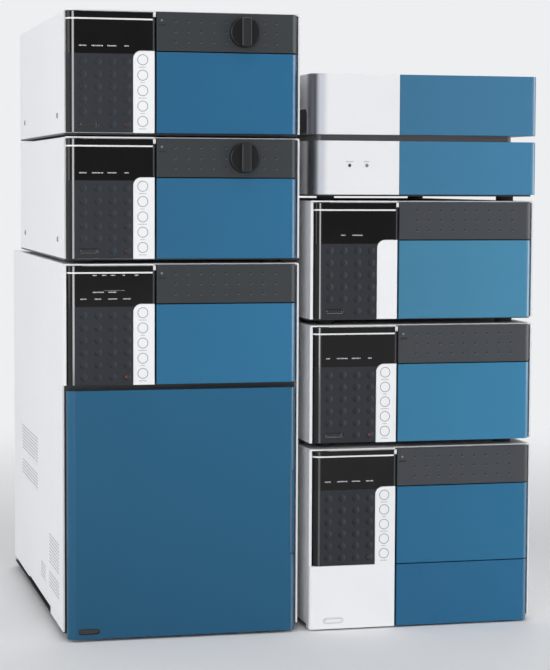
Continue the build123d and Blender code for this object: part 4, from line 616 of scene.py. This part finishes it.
left, bottom = panel("autosampler")
door_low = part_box("autosampler_door")[0].z / MM
trim_slot("autosampler", left, door_low, SAMPLER_SLOT, "autosampler_door", "autosampler_power_button", INK_AND_SHADE_BLACK, FRONT + 4.0)
left, bottom = panel("oven")
oven_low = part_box("oven_bezel")[0].z / MM
trim_slot("oven", left, oven_low, (SLOT[0], 9.5) + SLOT[2:], ROOT, "oven_power_button", INK_PALE, FRONT - 1.0)

# purge knobs: pointer marks on the grip
for module in ("pump_1", "pump_2"):
    left, bottom = panel(module)
    bm = bmesh.new()
    for z in (105.0, 117.0):
        add_dome(bm, left + 196.8, bottom + z, FRONT - 15.0, 0.9, 0.08, count=16)
    finish_mesh(module + "_knob_marks", bm, INK_AND_SHADE_BLACK, module + "_purge_knob", smooth=True)

# degasser lamps and their marks
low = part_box("degasser_case")[0]
left, bottom = low.x / MM, low.z / MM
for i, (x, lens) in enumerate(((43.4, LENS_DARK), (63.5, LENS))):
    bm = bmesh.new()
    add_dome(bm, left + x, bottom + 32.5, FRONT - 0.42, 1.75, 0.35)
    finish_mesh(f"degasser_lamp_{i + 1}", bm, lens, ROOT, smooth=True)
    bm = bmesh.new()
    add_band(bm, circle(left + x, bottom + 32.5, 2.1), circle(left + x, bottom + 32.5, 1.6), FRONT - 0.15, FRONT + 0.02)
    finish_mesh(f"degasser_lamp_ring_{i + 1}", bm, INK_GREY, ROOT)
printed("degasser_marks", dashes(left + 38.9, left + 48.2, bottom + 36.7, 1.1) + dashes(left + 60.2, left + 66.8, bottom + 36.7, 1.1),
        FRONT, INK_GREY, ROOT)


# ---------------------------------------------------------------- sides and backs
def vent_holes():
    """Grey discs of painted shade standing for the perforations in the pressed patches on the autosampler's left side.
    """
    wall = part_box("autosampler_case")[0].x / MM + 0.5
    bm = bmesh.new()
    for front, rear, low, high in ((233, 396, 165, 202.5), (233, 396, 134.5, 158), (48, 136, 64.5, 104), (48, 136, 35, 61), (163, 212, 35, 58.5)):
        pitch = 4.0
        columns = int((rear - front - 4) / pitch)
        rows = int((high - low - 3) / pitch)
        y0 = FRONT + (front + rear - (columns - 1) * pitch) / 2
        z0 = (low + high - (rows - 1) * pitch) / 2
        for i in range(columns):
            for j in range(rows):
                ring = [(y0 + i * pitch + 1.1 * math.cos(math.tau * k / 8), z0 + j * pitch + 1.1 * math.sin(math.tau * k / 8)) for k in range(8)]
                near = [bm.verts.new((wall - 0.05, y, z)) for y, z in ring]
                far = [bm.verts.new((wall + 0.3, y, z)) for y, z in ring]
                bm.faces.new(near)
                bm.faces.new(list(reversed(far)))
                for k in range(8):
                    m = (k + 1) % 8
                    bm.faces.new((near[k], near[m], far[m], far[k]))
    finish_mesh("autosampler_vent_holes", bm, HOLE_SHADE, ROOT)


vent_holes()


def add_screw(bm, place, out, radius=3.4):
    """Pan-head cross screw on a wall whose outward direction is out."""
    turn = Vector((0, -1, 0)).rotation_difference(Vector(out)).to_matrix().to_4x4()
    part = bmesh.new()
    add_dome(part, 0, 0, 0, radius, 1.5, rings=4, count=16)
    bmesh.ops.transform(part, matrix=Matrix.Translation(Vector(place)) @ turn, verts=part.verts)
    mesh = bpy.data.meshes.new("screw")
    part.to_mesh(mesh)
    part.free()
    bm.from_mesh(mesh)
    bpy.data.meshes.remove(mesh)


def case_screws(module):
    low, high = (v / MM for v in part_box(module + "_case"))
    bm = bmesh.new()
    for x in (low.x + 9, high.x - 9):
        for z in (low.z + 9, high.z - 9):
            add_screw(bm, (x, high.y, z), (0, 1, 0))
    for x, out in ((low.x, -1), (high.x, 1)):
        for y in (low.y + 60, high.y - 50):
            add_screw(bm, (x, y, low.z + 20), (out, 0, 0))
    finish_mesh(module + "_case_screws", bm, SCREW, ROOT, smooth=True)


for module in ("pump_1", "pump_2", "controller", "detector", "oven", "degasser"):
    case_screws(module)

# ---------------------------------------------------------------- floor, light and camera
BACKDROP = srgb(238, 239, 241)


def seen_factor(tree):
    """One for camera, mirror and glass rays, zero for the rays that carry light."""
    path = tree.nodes.new("ShaderNodeLightPath")
    total = path.outputs["Is Camera Ray"]
    for name in ("Is Glossy Ray", "Is Transmission Ray"):
        join = tree.nodes.new("ShaderNodeMath")
        join.operation = "MAXIMUM"
        tree.links.new(total, join.inputs[0])
        tree.links.new(path.outputs[name], join.inputs[1])
        total = join.outputs[0]
    return total


FLOOR = Tree("floor_pale")
cloud = FLOOR.ramp(FLOOR.noise(1.5, 3.0), 0.3, 0.7, 0.0, 1.0)
FLOOR.link(FLOOR.mix(cloud, srgb(228, 229, 231), srgb(232, 233, 235)), FLOOR.bsdf.inputs["Base Color"])
FLOOR.set(Roughness=0.8)
glow = FLOOR.add("ShaderNodeEmission")
glow.inputs["Color"].default_value = BACKDROP
length = FLOOR.add("ShaderNodeVectorMath", operation="LENGTH")
FLOOR.link(FLOOR.coords, length.inputs[0])
far = FLOOR.ramp(length.outputs["Value"], 0.55, 1.9, 0.0, 1.0, smooth=True)
both = FLOOR.add("ShaderNodeMath", operation="MULTIPLY")
FLOOR.link(far, both.inputs[0])
FLOOR.link(seen_factor(FLOOR.tree), both.inputs[1])
blend = FLOOR.add("ShaderNodeMixShader")
FLOOR.link(both.outputs[0], blend.inputs[0])
FLOOR.link(FLOOR.bsdf.outputs[0], blend.inputs[1])
FLOOR.link(glow.outputs[0], blend.inputs[2])
FLOOR.link(blend.outputs[0], FLOOR.out.inputs[0])
bm = bmesh.new()
bmesh.ops.create_grid(bm, x_segments=2, y_segments=2, size=8)
mesh = bpy.data.meshes.new("floor")
bm.to_mesh(mesh)
bm.free()
floor = bpy.data.objects.new("floor", mesh)
bpy.context.scene.collection.objects.link(floor)
floor.data.materials.append(FLOOR.material)

world = bpy.data.worlds.new("studio")
bpy.context.scene.world = world
world.use_nodes = True
wt = world.node_tree
wt.nodes.clear()
ambient = wt.nodes.new("ShaderNodeBackground")
ambient.inputs["Color"].default_value = (1.0, 1.0, 1.0, 1.0)
ambient.inputs["Strength"].default_value = AMBIENT
direction = wt.nodes.new("ShaderNodeTexCoord")
parts = wt.nodes.new("ShaderNodeSeparateXYZ")
wt.links.new(direction.outputs["Generated"], parts.inputs[0])
behind = wt.nodes.new("ShaderNodeMapRange")
behind.inputs["From Min"].default_value = -0.1
behind.inputs["From Max"].default_value = 0.4
behind.inputs["To Min"].default_value = FRONT_ROOM
behind.inputs["To Max"].default_value = 1.0
wt.links.new(parts.outputs["Y"], behind.inputs["Value"])
backdrop = wt.nodes.new("ShaderNodeBackground")
backdrop.inputs["Color"].default_value = BACKDROP
wt.links.new(behind.outputs["Result"], backdrop.inputs["Strength"])
pick = wt.nodes.new("ShaderNodeMixShader")
wt.links.new(seen_factor(wt), pick.inputs[0])
wt.links.new(ambient.outputs[0], pick.inputs[1])
wt.links.new(backdrop.outputs[0], pick.inputs[2])
out = wt.nodes.new("ShaderNodeOutputWorld")
wt.links.new(pick.outputs[0], out.inputs[0])

AIM = Vector((0.0, -0.1, 0.34))


def softbox(name, azimuth, elevation, distance, width, height, power):
    """Area lamp round the object; azimuth 0 is in front, positive to the right."""
    lamp = bpy.data.lights.new(name, "AREA")
    lamp.shape = "RECTANGLE"
    lamp.size = width
    lamp.size_y = height
    lamp.energy = power
    holder = bpy.data.objects.new(name, lamp)
    bpy.context.scene.collection.objects.link(holder)
    a, e = math.radians(azimuth), math.radians(elevation)
    place = AIM + distance * Vector((math.sin(a) * math.cos(e), -math.cos(a) * math.cos(e), math.sin(e)))
    holder.location = place
    holder.rotation_euler = (AIM - place).to_track_quat("-Z", "Y").to_euler()


softbox("left_front", -22.0, 8.0, 3.2, 1.5, 2.4, 39.5)
softbox("right_front", 52.0, 6.0, 3.2, 0.9, 2.6, 32.0)
softbox("left_side", -80.0, 14.0, 3.4, 2.0, 2.0, 45.0)
softbox("right_side", 84.0, 4.0, 3.2, 2.0, 2.4, 26.0)
softbox("overhead", -5.0, 68.0, 3.2, 2.6, 2.0, 26.0)
softbox("rear", 165.0, 30.0, 3.6, 2.4, 2.0, 26.0)

CAMERA_PLACE = Vector((-0.5829, -2.4784, 0.5076))
YAW, PITCH, ROLL = (math.radians(v) for v in (13.681, -4.207, 0.245))
FOCAL = 2079.56 / 670 * 36
forward = Vector((math.sin(YAW) * math.cos(PITCH), math.cos(YAW) * math.cos(PITCH), math.sin(PITCH)))
side = Vector((math.cos(YAW), -math.sin(YAW), 0.0))
up = side.cross(forward)
right_vector = math.cos(ROLL) * side + math.sin(ROLL) * up
up_vector = math.cos(ROLL) * up - math.sin(ROLL) * side
lens = bpy.data.cameras.new("camera")
lens.lens = FOCAL
lens.sensor_width = 36.0
lens.clip_start = 0.05
lens.clip_end = 60.0
camera = bpy.data.objects.new("camera", lens)
bpy.context.scene.collection.objects.link(camera)
camera.matrix_world = Matrix.Translation(CAMERA_PLACE) @ Matrix((right_vector, up_vector, -forward)).transposed().to_4x4()
bpy.context.scene.camera = camera
bpy.context.scene.view_settings.view_transform = "Standard"
